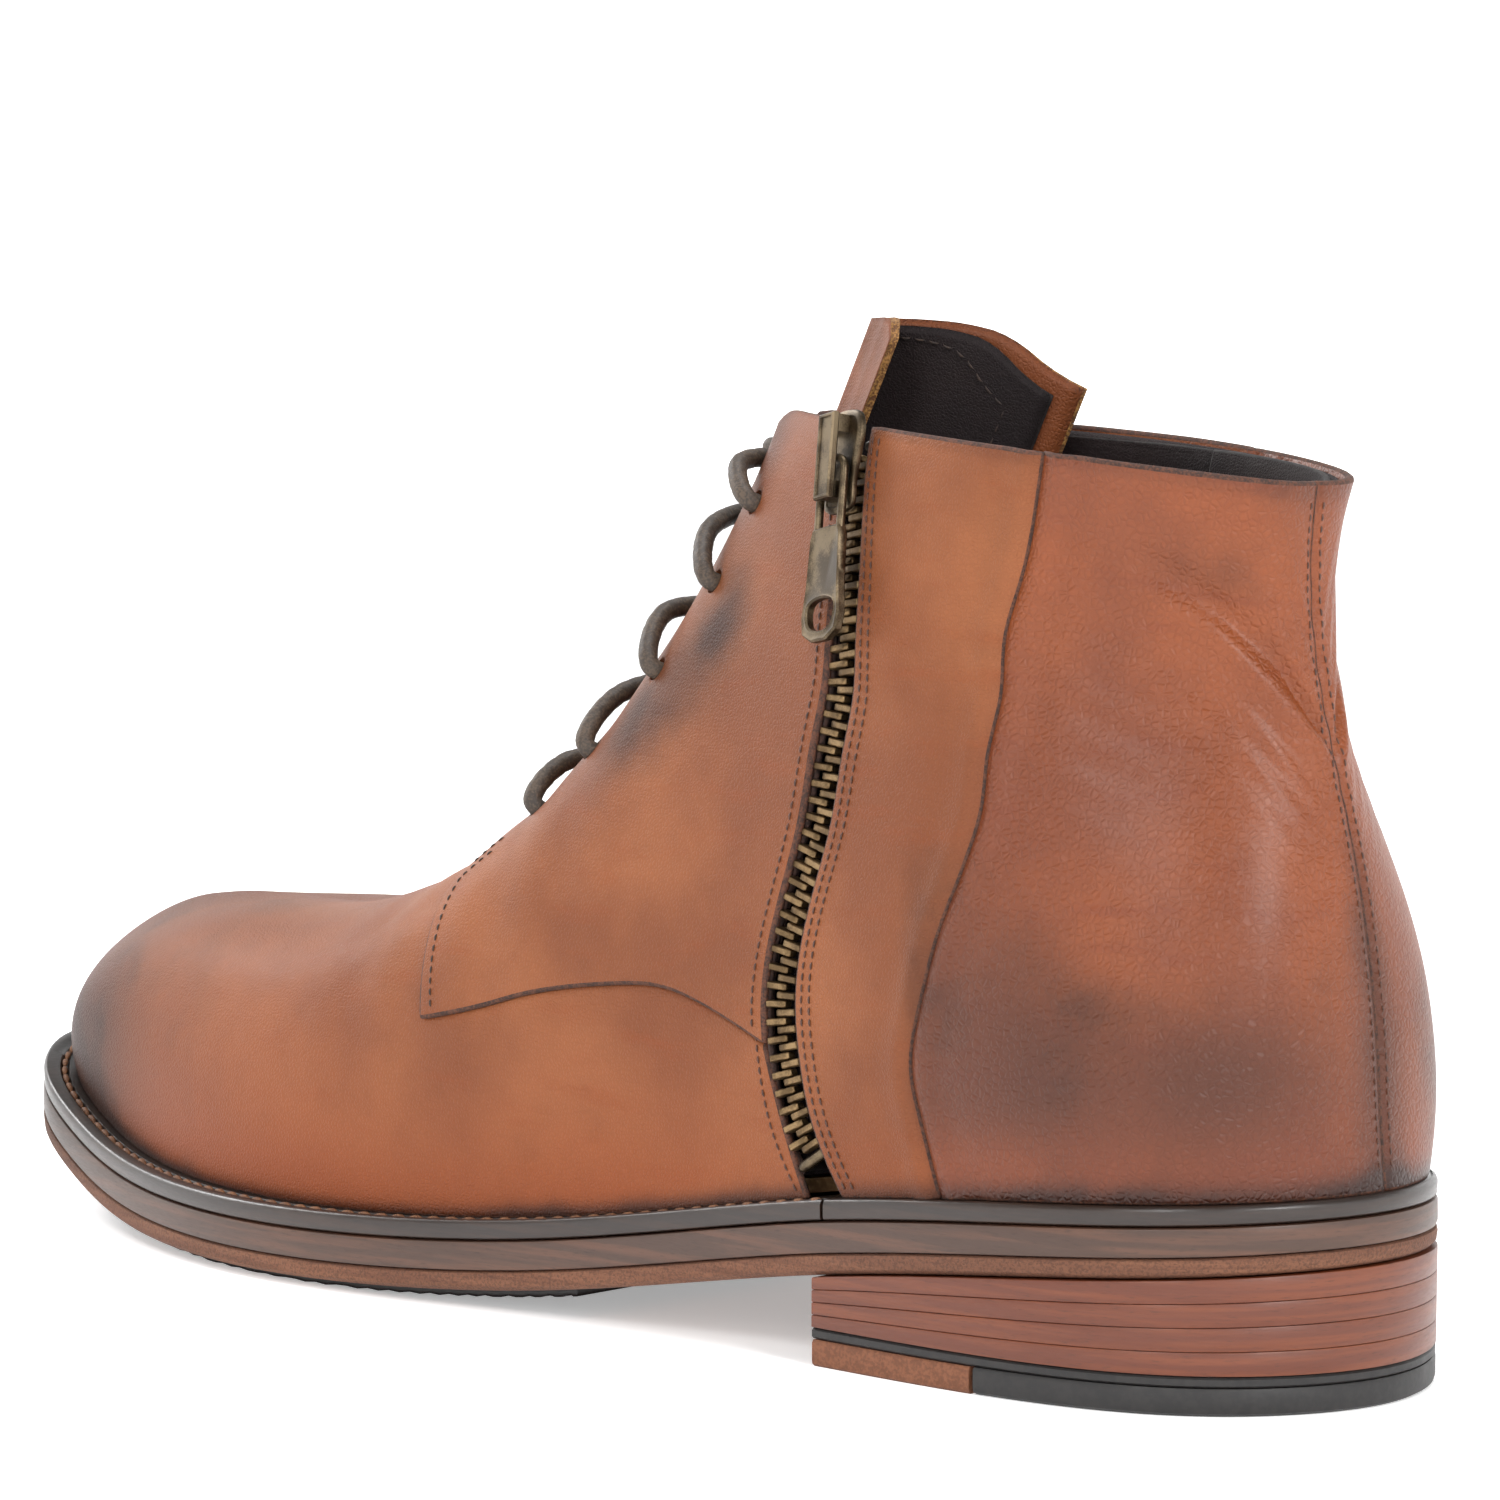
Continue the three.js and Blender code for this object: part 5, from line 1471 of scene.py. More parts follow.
    # ---- the panels
    def vamp(self) -> None:
        """Builds the vamp, which runs on under the quarters."""
        halves = []
        drops = []
        for outer in (True, False):
            low_line = OUTER_QUARTER_LOW if outer else QUARTER_LOW
            ridge = np.stack([np.linspace(0, 3.62, 66), np.ones(66)], -1)
            side = smooth_line([(3.64, 0.9), (3.655, 0.78), (3.68, 0.64), (3.72, 0.52), (3.77, 0.36)], 26)
            low = smooth_line(low_line, 60)[1:]
            tops = np.concatenate([ridge, side, low])
            last_foot = 5.845 if outer else float(self.beside(self.zip_curve, 0.02, -self.zip_opening))
            knots = [(0, 0.0), (66, 2.95), (92, 3.78), (len(tops) - 1, last_foot)]
            feet_along = smooth_line(knots, len(tops))
            order = np.interp(np.arange(len(tops)), feet_along[:, 0], feet_along[:, 1])
            feet = np.stack([order, np.full(len(tops), self.bottom)], -1)
            near = self.last.surface(feet[:, 0], feet[:, 1])
            far = self.last.surface(tops[:, 0], tops[:, 1])
            long = np.linalg.norm(far - near, axis=1)
            under = np.where(np.arange(len(tops)) < 66, 0.0, self.lap)
            beyond = tops + (tops - feet) * (under / long)[:, None]
            shares = np.linspace(0, 1, 46)
            body = feet[:, None] + (tops - feet)[:, None] * shares[None, :, None]
            tail = tops[:, None] + (beyond - tops)[:, None] * np.array([0.12, 0.3, 0.6, 1.0])[None, :, None]
            grid = np.concatenate([body, tail], 1)
            near_edge = (1 - shares) * long[:, None]
            sink = np.where(under[:, None] > 0, ramp(near_edge, 0.9, 0.0) * 0.75, 0.0)
            tail_sink = np.where(under[:, None] > 0, np.array([[1.0, 1.15, 1.15, 1.15]]), 0.0)
            drop = np.concatenate([sink, np.broadcast_to(tail_sink, (len(tops), 4))], 1)
            if outer:
                grid = grid[::-1].copy()
                grid[..., 0] = ROUND - grid[..., 0]
                drop = drop[::-1]
                grid, drop = grid[:-1], drop[:-1]
            halves.append(grid)
            drops.append(drop)
        whole, drop = np.concatenate(halves), np.concatenate(drops)
        places = (whole[..., 0], np.minimum(whole[..., 1], 1.0))
        leather, cut = self.finishes.upper, self.finishes.cut
        self.panel("vamp_leather", places, (0.0, -1.4), leather, ["vamp"], cut, drop)

    def facing(
        self, outer: bool, last_position: float, inset: float = 0.0, high: float = 0.998
    ) -> np.ndarray:
        """The quarter's edge along the lacing and on round the rim."""
        ridge, half = np.array(FACING).T
        p, s = self.last.across_front(ridge, half + inset, outer)
        places = list(zip(p, s))
        start = max(p[-1] + 0.05, TOP_FRONT + 0.09)
        places += [(q, high) for q in np.linspace(start, last_position, 6)]
        return np.array(places)

    def quarter(self, outer: bool) -> tuple[np.ndarray, np.ndarray]:
        """Grid of a quarter between its lower edge, the lacing, the rim and the zip or rear seam."""
        low = OUTER_QUARTER_LOW if outer else QUARTER_LOW
        curve = self.seam_curve if outer else self.zip_curve
        reach = -self.seam_gap if outer else -self.zip_opening
        shares = np.linspace(low[-1][1], self.rim, 60)
        end = np.stack([self.beside(curve, shares, reach), shares], -1)
        top = self.facing(outer, end[-1, 0])
        bottom = np.array([*low[:-1], end[0]])
        front = np.array([*FRONT_EDGE, top[0]])
        return self.sided(self.patch(bottom, top, front, end, 96, 64), outer)

    def spread(self, line: np.ndarray, count: int) -> np.ndarray:
        """A line of surface places made smooth and evenly spaced along the leather."""
        dense = smooth_line(line, 160)
        points = self.last.surface(dense[:, 0], dense[:, 1])
        run = run_of(points)
        at = np.linspace(0, run[-1], count)
        return np.stack([np.interp(at, run, dense[:, 0]), np.interp(at, run, dense[:, 1])], -1)

    def patch(
        self, low: np.ndarray, high: np.ndarray, start: np.ndarray, end: np.ndarray, columns: int, rows: int
    ) -> np.ndarray:
        """A grid of places inside four lines; low and high run one way, start and end join them."""
        bottom, top = self.spread(low, columns), self.spread(high, columns)
        left, right = self.spread(start, rows), self.spread(end, rows)
        u = np.linspace(0, 1, columns)[:, None, None]
        v = np.linspace(0, 1, rows)[None, :, None]
        ruled = (1 - v) * bottom[:, None] + v * top[:, None] + (1 - u) * left[None] + u * right[None]
        corners = (1 - u) * ((1 - v) * bottom[0] + v * top[0]) + u * ((1 - v) * bottom[-1] + v * top[-1])
        return ruled - corners

    def strip(self, first: object, second: object, low: float, high: float, columns: int, rows: int) -> tuple:
        """A grid between two lines that give a position for each height share."""
        shares = np.linspace(low, high, rows)
        start, end = first(shares), second(shares)
        u = np.linspace(0, 1, columns)[:, None]
        position = start + (end - start) * u
        return position, np.broadcast_to(shares, position.shape).copy()

    def mirrored(self, places: tuple) -> tuple:
        """The same grid on the outer side."""
        return (ROUND - places[0])[::-1].copy(), places[1][::-1].copy()

    def sided(self, grid: np.ndarray, outer: bool) -> tuple:
        """Edge positions and height shares of a grid, turned over for the outer side."""
        places = (grid[..., 0], np.minimum(grid[..., 1], 1.0))
        return self.mirrored(places) if outer else places

    def build(self) -> None:
        """Builds the panels, the linings and the stitches."""
        tan, rear, lining = self.finishes.upper, self.finishes.rear, self.finishes.lining
        cut, dark = self.finishes.cut, self.finishes.lining_edge
        holes = {False: self.hole_axes(False), True: self.hole_axes(True)}
        self.vamp()
        for outer, side in ((False, "inner"), (True, "outer")):
            places = self.quarter(outer)
            name = f"quarter_leather_{side}"
            self.panel(name, places, (0.75, -0.85), tan, [f"quarter_{side}"], cut, holes=holes[outer])
        zip_edge = self.line(self.zip_curve, self.zip_opening)
        seam_front = self.line(self.seam_curve, -self.seam_gap)
        seam_rear = self.line(self.seam_curve, self.seam_gap)
        places = self.strip(zip_edge, seam_front, self.bottom, self.rim, 30, 110)
        drop = self.seam_roll(places)
        self.panel("zip_side_leather", places, (0.45, -1.05), tan, ["zip_side_strip"], cut, drop)
        places = self.strip(seam_rear, same(HEEL_BACK - 0.012), self.bottom, self.rim, 90, 110)
        drop = self.seam_roll(places, True)
        for side, grid, sink in (
            ("inner", places, drop),
            ("outer", self.mirrored(places), drop[::-1].copy()),
        ):
            name = f"rear_leather_{side}"
            self.panel(name, grid, (0.0, -1.5), rear, [f"rear_panel_{side}"], cut, sink, "rear_leather")
        self.linings(lining, dark, holes)
        self.seams()

    def seam_roll(self, places: tuple, back: bool = False) -> np.ndarray:
        """How far a panel rolls inwards beside the rear seam, in millimetres."""
        position, share = places
        here = self.last.surface(position, share)
        line = self.last.surface(self.seam_curve(share)[..., 0], share)
        away = np.linalg.norm(here - line, axis=-1)
        drop = 0.75 * bell(away, 0.9)
        if back:
            line = self.last.surface(np.full(position.shape, float(HEEL_BACK)), share)
            away = np.linalg.norm(here - line, axis=-1)
            drop += 0.5 * bell(away, 0.8)
        return drop

    def hole_axes(self, outer: bool) -> list:
        """The ends of each eyelet hole's axis."""
        found = []
        for ridge, half in EYELETS:
            place, share = self.last.front_place(ridge, half, outer)
            found.append((self.last.offset(place, share, -5.0), self.last.offset(place, share, 4.0)))
        return found

    def linings(self, lining: object, dark: object, holes: dict) -> None:
        """Builds the linings of the vamp, the quarters, the rear and the strip behind the zip."""
        deep, thin = (-3.9, -4.7), (-2.5, -3.2)
        places = self.strip(same(-3.5), same(3.5), 0.06, 1, 80, 30)
        self.panel("vamp_lining_leather", places, deep, lining, ["vamp_lining"], dark, slot="lining")
        places = self.strip(same(6.25), same(9.75), 0.05, 0.99, 70, 50)
        self.panel("rear_lining_leather", places, (-3.3, -4.4), lining, ["rear_lining"], dark, slot="lining")
        for outer, side in ((False, "inner"), (True, "outer")):
            shares = np.linspace(0.04, 0.99, 40)
            if outer:
                end = np.stack([np.full(40, 6.24), shares], -1)
            else:
                end = np.stack([self.beside(self.zip_curve, shares, -8), shares], -1)
            top = self.facing(outer, end[-1, 0], 1.0, 0.99)
            bottom = np.stack([np.linspace(3.85, end[0, 0], 8), np.full(8, 0.04)], -1)
            front = np.array([(3.85, 0.04), (3.8, 0.3), (3.77, 0.55), top[0]])
            places = self.sided(self.patch(bottom, top, front, end, 60, 40), outer)
            name, nodes = f"quarter_lining_leather_{side}", [f"quarter_lining_{side}"]
            self.panel(name, places, thin, lining, nodes, dark, slot="lining", holes=holes[outer])
        strip = self.strip(self.line(self.zip_curve, 8), same(6.22), 0.05, RIM_SHARE, 16, 60)
        self.panel("zip_side_lining_leather", strip, thin, lining, ["zip_side_lining"], dark, slot="lining")
        self.collar(lining)

    def collar(self, lining: object) -> None:
        """Builds the soft rolled seam that closes leather and lining along the rim."""
        start = float(self.beside(self.zip_curve, 0.99, 8))
        end = float(self.beside(self.zip_curve, 0.99, -8))
        parts = (
            ("rim_binding", np.linspace(start, ROUND - TOP_FRONT - 0.25, 260), -2.1, 1.15),
            ("rim_binding_front", np.linspace(TOP_FRONT + 0.09, end, 60), -1.9, 1.0),
        )
        for name, places, level, radius in parts:
            path = even(self.last.offset(places, same(RIM_SHARE)(places), level), 1.2)
            made = Pieces()
            made.loft(tube(path, np.full(len(path), radius), 10))
            made.build(name, self.last, [lining], "lining", [])

    def seams(self) -> None:
        """Adds the stitch rows: beside the zip, up the back, round the front corners."""
        shares = np.linspace(0.012, RIM_SHARE, 260)
        zip_rows = Pieces()
        edge = self.zip_opening
        for reach, lift in ((-edge - 1.9, 0.85), (edge + 1.3, 0.55), (edge + 3.1, 0.55)):
            places = self.beside(self.zip_curve, shares, reach)
            low = 0.235 if reach < 0 else 0.0
            keep = shares >= low
            self.row(zip_rows, places[keep], shares[keep], lift)
            if reach < 0:
                self.row(zip_rows, places[~keep], shares[~keep], 0.1)
        zip_rows.build("zip_stitches", self.last, [self.finishes.thread], "lace", [])
        back = Pieces()
        places = np.linspace(0.03, RIM_SHARE, 240)
        for side in (-1, 1):
            line = self.last.shifted(np.full(240, float(HEEL_BACK)), places, side * 1.5)
            self.row(back, line, places, -0.02)
        back.build("back_seam_stitches", self.last, [self.finishes.thread], "lace", [])
        self.corner_stitches()

    def row(self, made: Pieces, position: np.ndarray, share: np.ndarray, lift: float) -> None:
        """Adds one row of stitches along surface places."""
        path = self.last.offset(position, share, lift + self.relief(position, share))
        lifts = self.last.normal(position, share)
        stitch_row(made, path, lifts, self.stitch_pitch, self.stitch_long, self.stitch_wide)

    def corner_stitches(self) -> None:
        """Adds the stitched front edge of each quarter with its small tack at the top."""
        made = Pieces()
        for outer in (False, True):
            line = smooth_line([(3.785, 0.362), (3.735, 0.52), (3.70, 0.635)], 60)
            position = self.last.shifted(line[:, 0], line[:, 1], 1.4)
            flip = (lambda p: ROUND - p) if outer else (lambda p: p)
            self.row(made, flip(position), line[:, 1], 0.82)
            for level in (0.632, 0.668):
                start = np.interp(level, line[:, 1], position)
                base = np.full(20, level) + np.linspace(0, 0.02, 20)
                across = self.last.shifted(np.full(20, start), base, np.linspace(0, 7.0, 20))
                self.row(made, flip(across), base, 0.82)
        made.build("quarter_corner_stitches", self.last, [self.finishes.black_thread], "lace", [])


# ------------------------------------------------------------------------------------ tongue
@dataclass
class Tongue:
    """The tongue, one piece of leather and one of lining, from the throat to its free top."""

    last: Last
    finishes: Finishes
    layer: tuple = (-8.9, -10.4)
    lining_layer: tuple = (-10.6, -11.5)
    turn: tuple = ((3.4, 0.5), (3.8, 0.7), (4.2, 0.95), (4.6, 1.2), (5, 1.35))
    inner_half: tuple = ((3.4, 17), (3.8, 20), (4.2, 25), (4.6, 20), (5, 14.5))
    outer_half: tuple = ((3.4, 17), (3.8, 20), (4.2, 27), (4.6, 26), (5, 25))
    lean: tuple = (0.4188, 0.0399, 0.9074)
    free_top: tuple = (
        (-1, 156.5), (-0.9, 160.5), (-0.7, 161.3), (0, 161.2),
        (0.4, 161), (0.62, 160), (0.8, 157.5), (1, 148),
    )  # fmt: skip

    def sections(self, ridge: np.ndarray, reach: np.ndarray, offset: float, trim: float) -> np.ndarray:
        """Points of the tongue below its free top.

        Args:
            ridge: Positions along the front ridge.
            reach: Places across, from -1 on the inner side to 1 on the outer side.
            offset: Distance from the reference surface; negative is inside.
            trim: How much narrower the layer is on each side.

        Returns:
            A grid of points, across first.
        """
        reach, ridge = np.meshgrid(reach, ridge, indexing="ij")
        outer_wide = np.interp(ridge, *zip(*self.outer_half))
        inner_wide = np.interp(ridge, *zip(*self.inner_half))
        wide = np.where(reach > 0, outer_wide, inner_wide)
        half = (wide - trim) * np.abs(reach)
        outer = self.last.across_front(ridge, half, True)
        inner = self.last.across_front(ridge, half, False)
        position = np.where(reach > 0, ROUND - outer[0], inner[0])
        share = np.where(reach > 0, outer[1], inner[1])
        centre = half < 0.01
        base = self.last.surface(np.where(centre, ridge, position), np.where(centre, 1.0, share))
        turn = (reach * np.interp(ridge, *zip(*self.turn)))[..., None]
        up = self.last.normal(ridge, np.ones(ridge.shape))
        out = up * np.cos(turn) + np.array([0, 1, 0]) * np.sin(turn)
        near = 1 - ramp(ridge, 3.45, 3.78)
        return base + out * (offset + near * (-self.layer[0] - 1.7))[..., None]

    def grid(self, offset: float, trim: float) -> np.ndarray:
        """Points across and up the tongue at an offset."""
        reaches = np.linspace(-1, 1, 41)
        base = self.sections(np.linspace(3.45, 4.93, 30), reaches, offset, trim)
        top = base[:, -1]
        places, heights = zip(*self.free_top)
        level = np.convolve(np.interp(np.linspace(-1.15, 1.15, 47), places, heights), np.ones(7) / 7, "valid")
        high = (level - trim * 0.8 - top[:, 2]) / self.lean[2]
        steps = np.linspace(0, 1, 19)[1:]
        rise = top[:, None] + np.array(self.lean) * (high[:, None] * steps)[..., None]
        return np.concatenate([base, rise], 1)

    def build(self) -> None:
        """Builds both layers and the edge stitching."""
        outer, inner = self.grid(self.layer[0], 0.0), self.grid(self.layer[1], 0.0)
        faces = grid_faces(*outer.shape[:2])
        made, _ = shell(outer.reshape(-1, 3), inner.reshape(-1, 3), faces, 0.7, 1)
        x, z = np.concatenate(made.points)[:, 0], np.concatenate(made.points)[:, 2]
        made.marks = {"burnish": 0.25 * ramp(z, 70, 140), "warmth": 0.2 * ramp(x, 150, 190)}
        materials, nodes = [self.finishes.upper, self.finishes.raw], ["tongue", "tongue_flap"]
        leather = self.split(made, "tongue_leather", materials, "upper_leather", nodes)
        outer, inner = self.grid(self.lining_layer[0], 1.4), self.grid(self.lining_layer[1], 1.4)
        made, _ = shell(outer.reshape(-1, 3), inner.reshape(-1, 3), faces, 0.7, 1)
        made.marks = {"burnish": np.zeros(made.count), "warmth": np.zeros(made.count)}
        materials = [self.finishes.lining, self.finishes.lining_edge]
        nodes = ["tongue_lining", "tongue_flap_lining"]
        lining = self.split(made, "tongue_lining_leather", materials, "lining", nodes)
        seam = self.edge_stitches()
        LOG.info("%s, %s and %s bend with the flap", leather.name, lining.name, seam.name)

    def edge_stitches(self) -> bpy.types.Object:
        """Builds the stitch row inside the free edge, on the lining."""
        edge = self.grid(self.lining_layer[1] - 0.05, 3.8)
        path = even(np.concatenate([edge[0, 20:], edge[1:-1, -1], edge[-1, 20:][::-1]]), 1.0)
        away = edge[20, 30] + np.array([14.0, 0, 0]) - path
        stitches = Pieces()
        stitch_row(stitches, path, unit(away), 2.4, 1.7, 0.5)
        return self.split(stitches, "tongue_stitches", [self.finishes.black_thread], "lace", [])

    def split(self, made: Pieces, name: str, materials: list, slot: str, nodes: list) -> bpy.types.Object:
        """Makes a piece and takes it off its body, with its place baked in."""
        item = made.build(name, self.last, materials, slot, nodes)
        item.parent = None
        if "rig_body" in item:
            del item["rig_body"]
        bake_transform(item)
        return item


# ------------------------------------------------------------------------------------ zip
@dataclass
class Zip:
    """Tapes, teeth, stops, slider and pull of the zip."""

    last: Last
    finishes: Finishes
    upper: Upper
    top: float = 0.94
    bottom: float = 0.045
    pitch: float = 2.7
    chain: float = 3.3
    tape_half: float = 13.0
    slider_share: float = 0.915
    travel_end: float = 0.6
    slider_long: float = 15.5
    slider_level: float = 1.95
    pull_long: float = 18.0
    level: float = 4.1

    def __post_init__(self) -> None:
        """Lays the slider along its straight run."""
        start, _, _, out = self.frames(np.array(self.slider_share))
        end = self.frames(np.array(self.travel_end))[0]
        down = unit(end - start)
        across = unit(np.cross(out, down))
        across = -across if across[0] < 0 else across
        out = unit(np.cross(down, across))
        self.slider_axes = (start, down, across, -out if out[1] > 0 else out)

    def at(self, share: np.ndarray) -> np.ndarray:
        """Points on the zip's middle."""
        return self.last.surface(self.upper.zip_curve(share)[..., 0], share)

    def frames(self, share: np.ndarray) -> tuple:
        """Points on the zip's middle, with the directions down, across to the heel and out."""
        share = np.asarray(share, float)
        down = unit(self.at(share - 0.004) - self.at(share + 0.004))
        out = self.last.normal(self.upper.zip_curve(share)[..., 0], share)
        across = unit(np.cross(out, down))
        across = np.where(across[..., :1] < 0, -across, across)
        return self.at(share), down, across, out

    def build(self) -> None:
        """Builds the whole zip."""
        self.teeth()
        self.tapes()
        self.stops()
        self.slider()
        self.pull()

    def run(self) -> tuple[np.ndarray, np.ndarray]:
        """Length along the zip, with the height shares that belong to it."""
        shares = np.linspace(self.top, self.bottom, 400)
        points = self.frames(shares)[0]
        return run_of(points), shares

    def teeth(self) -> None:
        """Builds the two rows of single teeth."""
        run, shares = self.run()
        count = int(run[-1] / self.pitch) - 1
        for side, name, node in ((-1, "teeth_front", "zip_teeth_front"), (1, "teeth_rear", "zip_teeth_rear")):
            made = Pieces()
            for i in range(count):
                place = 1.2 + i * self.pitch + (self.pitch / 2 if side > 0 else 0)
                point, down, across, out = self.frames(np.interp(place, run, shares))
                self.tooth(made, point, down, across * side, out)
            cord = np.interp(np.arange(0.4, run[-1] - 0.4, 0.8), run, shares)
            point, down, across, out = self.frames(cord)
            path = point + across * side * (self.chain + 0.35) - out * 1.05
            made.loft(tube(path, np.full(len(path), 0.55), 8), kind=1)
            materials = [self.finishes.teeth, self.finishes.tape]
            made.build(name, self.last, materials, "zip_metal", [node], sharp=45)

    def tooth(
        self, made: Pieces, point: np.ndarray, down: np.ndarray, across: np.ndarray, out: np.ndarray
    ) -> None:
        """Adds one tooth: a clamped foot outside and a head with a nib past the middle."""
        rings = []
        shape = (
            (self.chain, 0.42, 0.7), (self.chain - 0.25, 0.62, 1.0), (1.5, 0.62, 1.0), (1.2, 0.58, 0.95),
            (0.4, 0.62, 0.95), (-0.75, 0.6, 0.9), (-1.0, 0.42, 0.65),
        )  # fmt: skip
        for reach, long, high in shape:
            middle = point + across * reach - out * 0.85
            ring = []
            for k in range(8):
                angle = math.pi * (k + 0.5) / 4
                a = math.copysign(abs(math.cos(angle)) ** 0.45, math.cos(angle))
                b = math.copysign(abs(math.sin(angle)) ** 0.45, math.sin(angle))
                ring.append(middle + down * a * long + out * b * high)
            rings.append(ring)
        made.loft(np.array(rings))

    def tapes(self) -> None:
        """Builds the woven tapes and the leather guard behind them."""
        parts = (
            ("tape_front", -self.tape_half, -self.chain - 0.55, "zip_tape_front"),
            ("tape_rear", self.chain + 0.55, self.tape_half, "zip_tape_rear"),
        )
        for name, near, far, node in parts:
            first, second = (self.upper.line(self.upper.zip_curve, reach) for reach in (near, far))
            places = self.upper.strip(first, second, self.bottom, 0.97, 14, 130)
            self.upper.panel(name, places, (-1.7, -2.2), self.finishes.tape, [node], slot="zip_tape")
        first, second = (self.upper.line(self.upper.zip_curve, reach) for reach in (-7, 16))
        places = self.upper.strip(first, second, 0.06, 0.93, 14, 60)
        lining, dark = self.finishes.lining, self.finishes.lining_edge
        layer = (-5.1, -6.0)
        self.upper.panel("zip_guard_leather", places, layer, lining, ["zip_guard"], dark, slot="lining")

    def stops(self) -> None:
        """Builds the top stops and the bottom stop."""
        run, shares = self.run()
        parts = (
            ("stop_bottom", shares[-1] + 0.015, 0.0, 3.2, "zip_bottom_stop"),
            ("stop_top_front", 0.949, -2.5, 1.0, "zip_top_stop_front"),
            ("stop_top_rear", 0.949, 2.5, 1.0, "zip_top_stop_rear"),
        )
        for name, share, reach, wide, node in parts:
            point, down, across, out = self.frames(np.array(share))
            made = Pieces()
            rings = []
            for step, size in ((-1.0, 0.6), (-0.8, 0.9), (0.8, 0.9), (1.0, 0.6)):
                middle = point + across * (reach + step * wide) - out * 0.85
                angles = [math.pi * (k + 0.5) / 4 for k in range(8)]
                rings.append([middle + down * size * math.cos(a) + out * size * math.sin(a) for a in angles])
            made.loft(np.array(rings))
            made.build(name, self.last, [self.finishes.brass], "zip_metal", [node], sharp=45)

    def in_slider(self, down: float, across: float, out: float) -> np.ndarray:
        """A point in the slider's own directions."""
        point, d, a, o = self.slider_axes
        return point + d * down + a * across + o * out

    def prism(self, made: Pieces, outline: list, levels: list) -> None:
        """Adds a plate: outline points down and across, and levels of inset and height."""
        rows = np.array(outline, float)
        ahead = unit(np.roll(rows, -1, 0) - rows)
        back = unit(rows - np.roll(rows, 1, 0))
        turn = unit(ahead + back)
        away = np.stack([turn[:, 1], -turn[:, 0]], -1)
        centre = rows.mean(0)
        if ((rows - centre) * away).sum() < 0:
            away = -away
        rings = []
        for inset, height in levels:
            moved = rows - away * inset
            rings.append([self.in_slider(d, a, height) for d, a in moved])
        made.loft(np.array(rings))

    def rounded(self, outline: list, count: int = 56) -> np.ndarray:
        """A closed smooth outline through corner points."""
        rows = np.array([*outline, outline[0]], float)
        run = np.concatenate([[0], np.cumsum(np.sqrt(np.linalg.norm(np.diff(rows, axis=0), axis=1)))])
        return Curve(run, rows, closed=True)(np.linspace(0, run[-1], count, endpoint=False))

    def slider(self) -> None:
        """Builds the slider: a shouldered plate with side walls and a bridge."""
        half = self.slider_long / 2
        outline = [
            (-half, -2.2), (-half + 1.2, -4.9), (-half + 4.5, -5.6), (-0.5, -4.9),
            (half - 3, -4.1), (half, -3.6), (half, 3.6), (half - 3, 4.1),
            (-0.5, 4.9), (-half + 4.5, 5.6), (-half + 1.2, 4.9), (-half, 2.2),
        ]  # fmt: skip
        plate = self.rounded(outline)
        made = Pieces()
        base = self.slider_level
        levels = [(0.5, 0.0), (0.1, 0.15), (0.0, 0.5), (0.1, 0.95), (0.45, 1.15), (1.0, 1.2), (1.2, 1.02)]
        levels = [(inset, base + height) for inset, height in levels]
        self.prism(made, plate, levels)
        for low, high in ((-half + 1.0, -4.0), (3.8, 6.4)):
            post = [(low, -2.0), (high, -2.0), (high, 2.0), (low, 2.0)]
            self.prism(made, post, [(0.0, base + 0.8), (0.0, base + 3.4)])
        bar = [(-half + 0.8, -2.2), (6.6, -2.2), (6.6, 2.2), (-half + 0.8, 2.2)]
        levels = [(0.35, 2.95), (0.0, 3.25), (0.0, 4.0), (0.35, 4.3), (0.8, 4.3), (1.0, 4.0)]
        self.prism(made, bar, [(inset, base + height) for inset, height in levels])
        brass = [self.finishes.brass]
        made.build("slider_metal", self.last, brass, "zip_metal", ["zip_slider"], 35, Body.SLIDER)

    def pull(self) -> None:
        """Builds the wire loop and the tab with its hole."""
        made = Pieces()
        drop = self.slider_long / 2 + 3
        bend = [
            (drop + 1.6, -3.2), (drop - 2, -3.3), (3, -3.3), (0.9, -2.9), (0.1, -1.6),
            (0.1, 1.6), (0.9, 2.9), (3, 3.3), (drop - 2, 3.3), (drop + 1.6, 3.2),
        ]  # fmt: skip
        path = smooth_line([self.in_slider(d, a, self.level) for d, a in bend], 60)
        made.loft(tube(path, np.full(60, 0.68), 12))
        outline = [
            (drop, -3.8), (drop + 1, -4.2), (drop + 9, -4.7), (drop + 14, -5.5), (drop + 16.6, -4.9),
            (drop + self.pull_long, -2.2), (drop + self.pull_long, 2.2), (drop + 16.6, 4.9), (drop + 14, 5.5),
            (drop + 9, 4.7), (drop + 1, 4.2), (drop, 3.8),
        ]  # fmt: skip
        hole = [
            (drop + 11.9, -3.2), (drop + 13.6, -3.9), (drop + 15.4, -3.2), (drop + 16.3, -1.2),
            (drop + 16.3, 1.2), (drop + 15.4, 3.2), (drop + 13.6, 3.9), (drop + 11.9, 3.2),
        ]  # fmt: skip
        self.ring_plate(made, outline, hole, (drop + 13.8, 0.0))
        brass = [self.finishes.brass]
        made.build("pull_metal", self.last, brass, "zip_metal", ["zip_pull"], 35, Body.PULL)

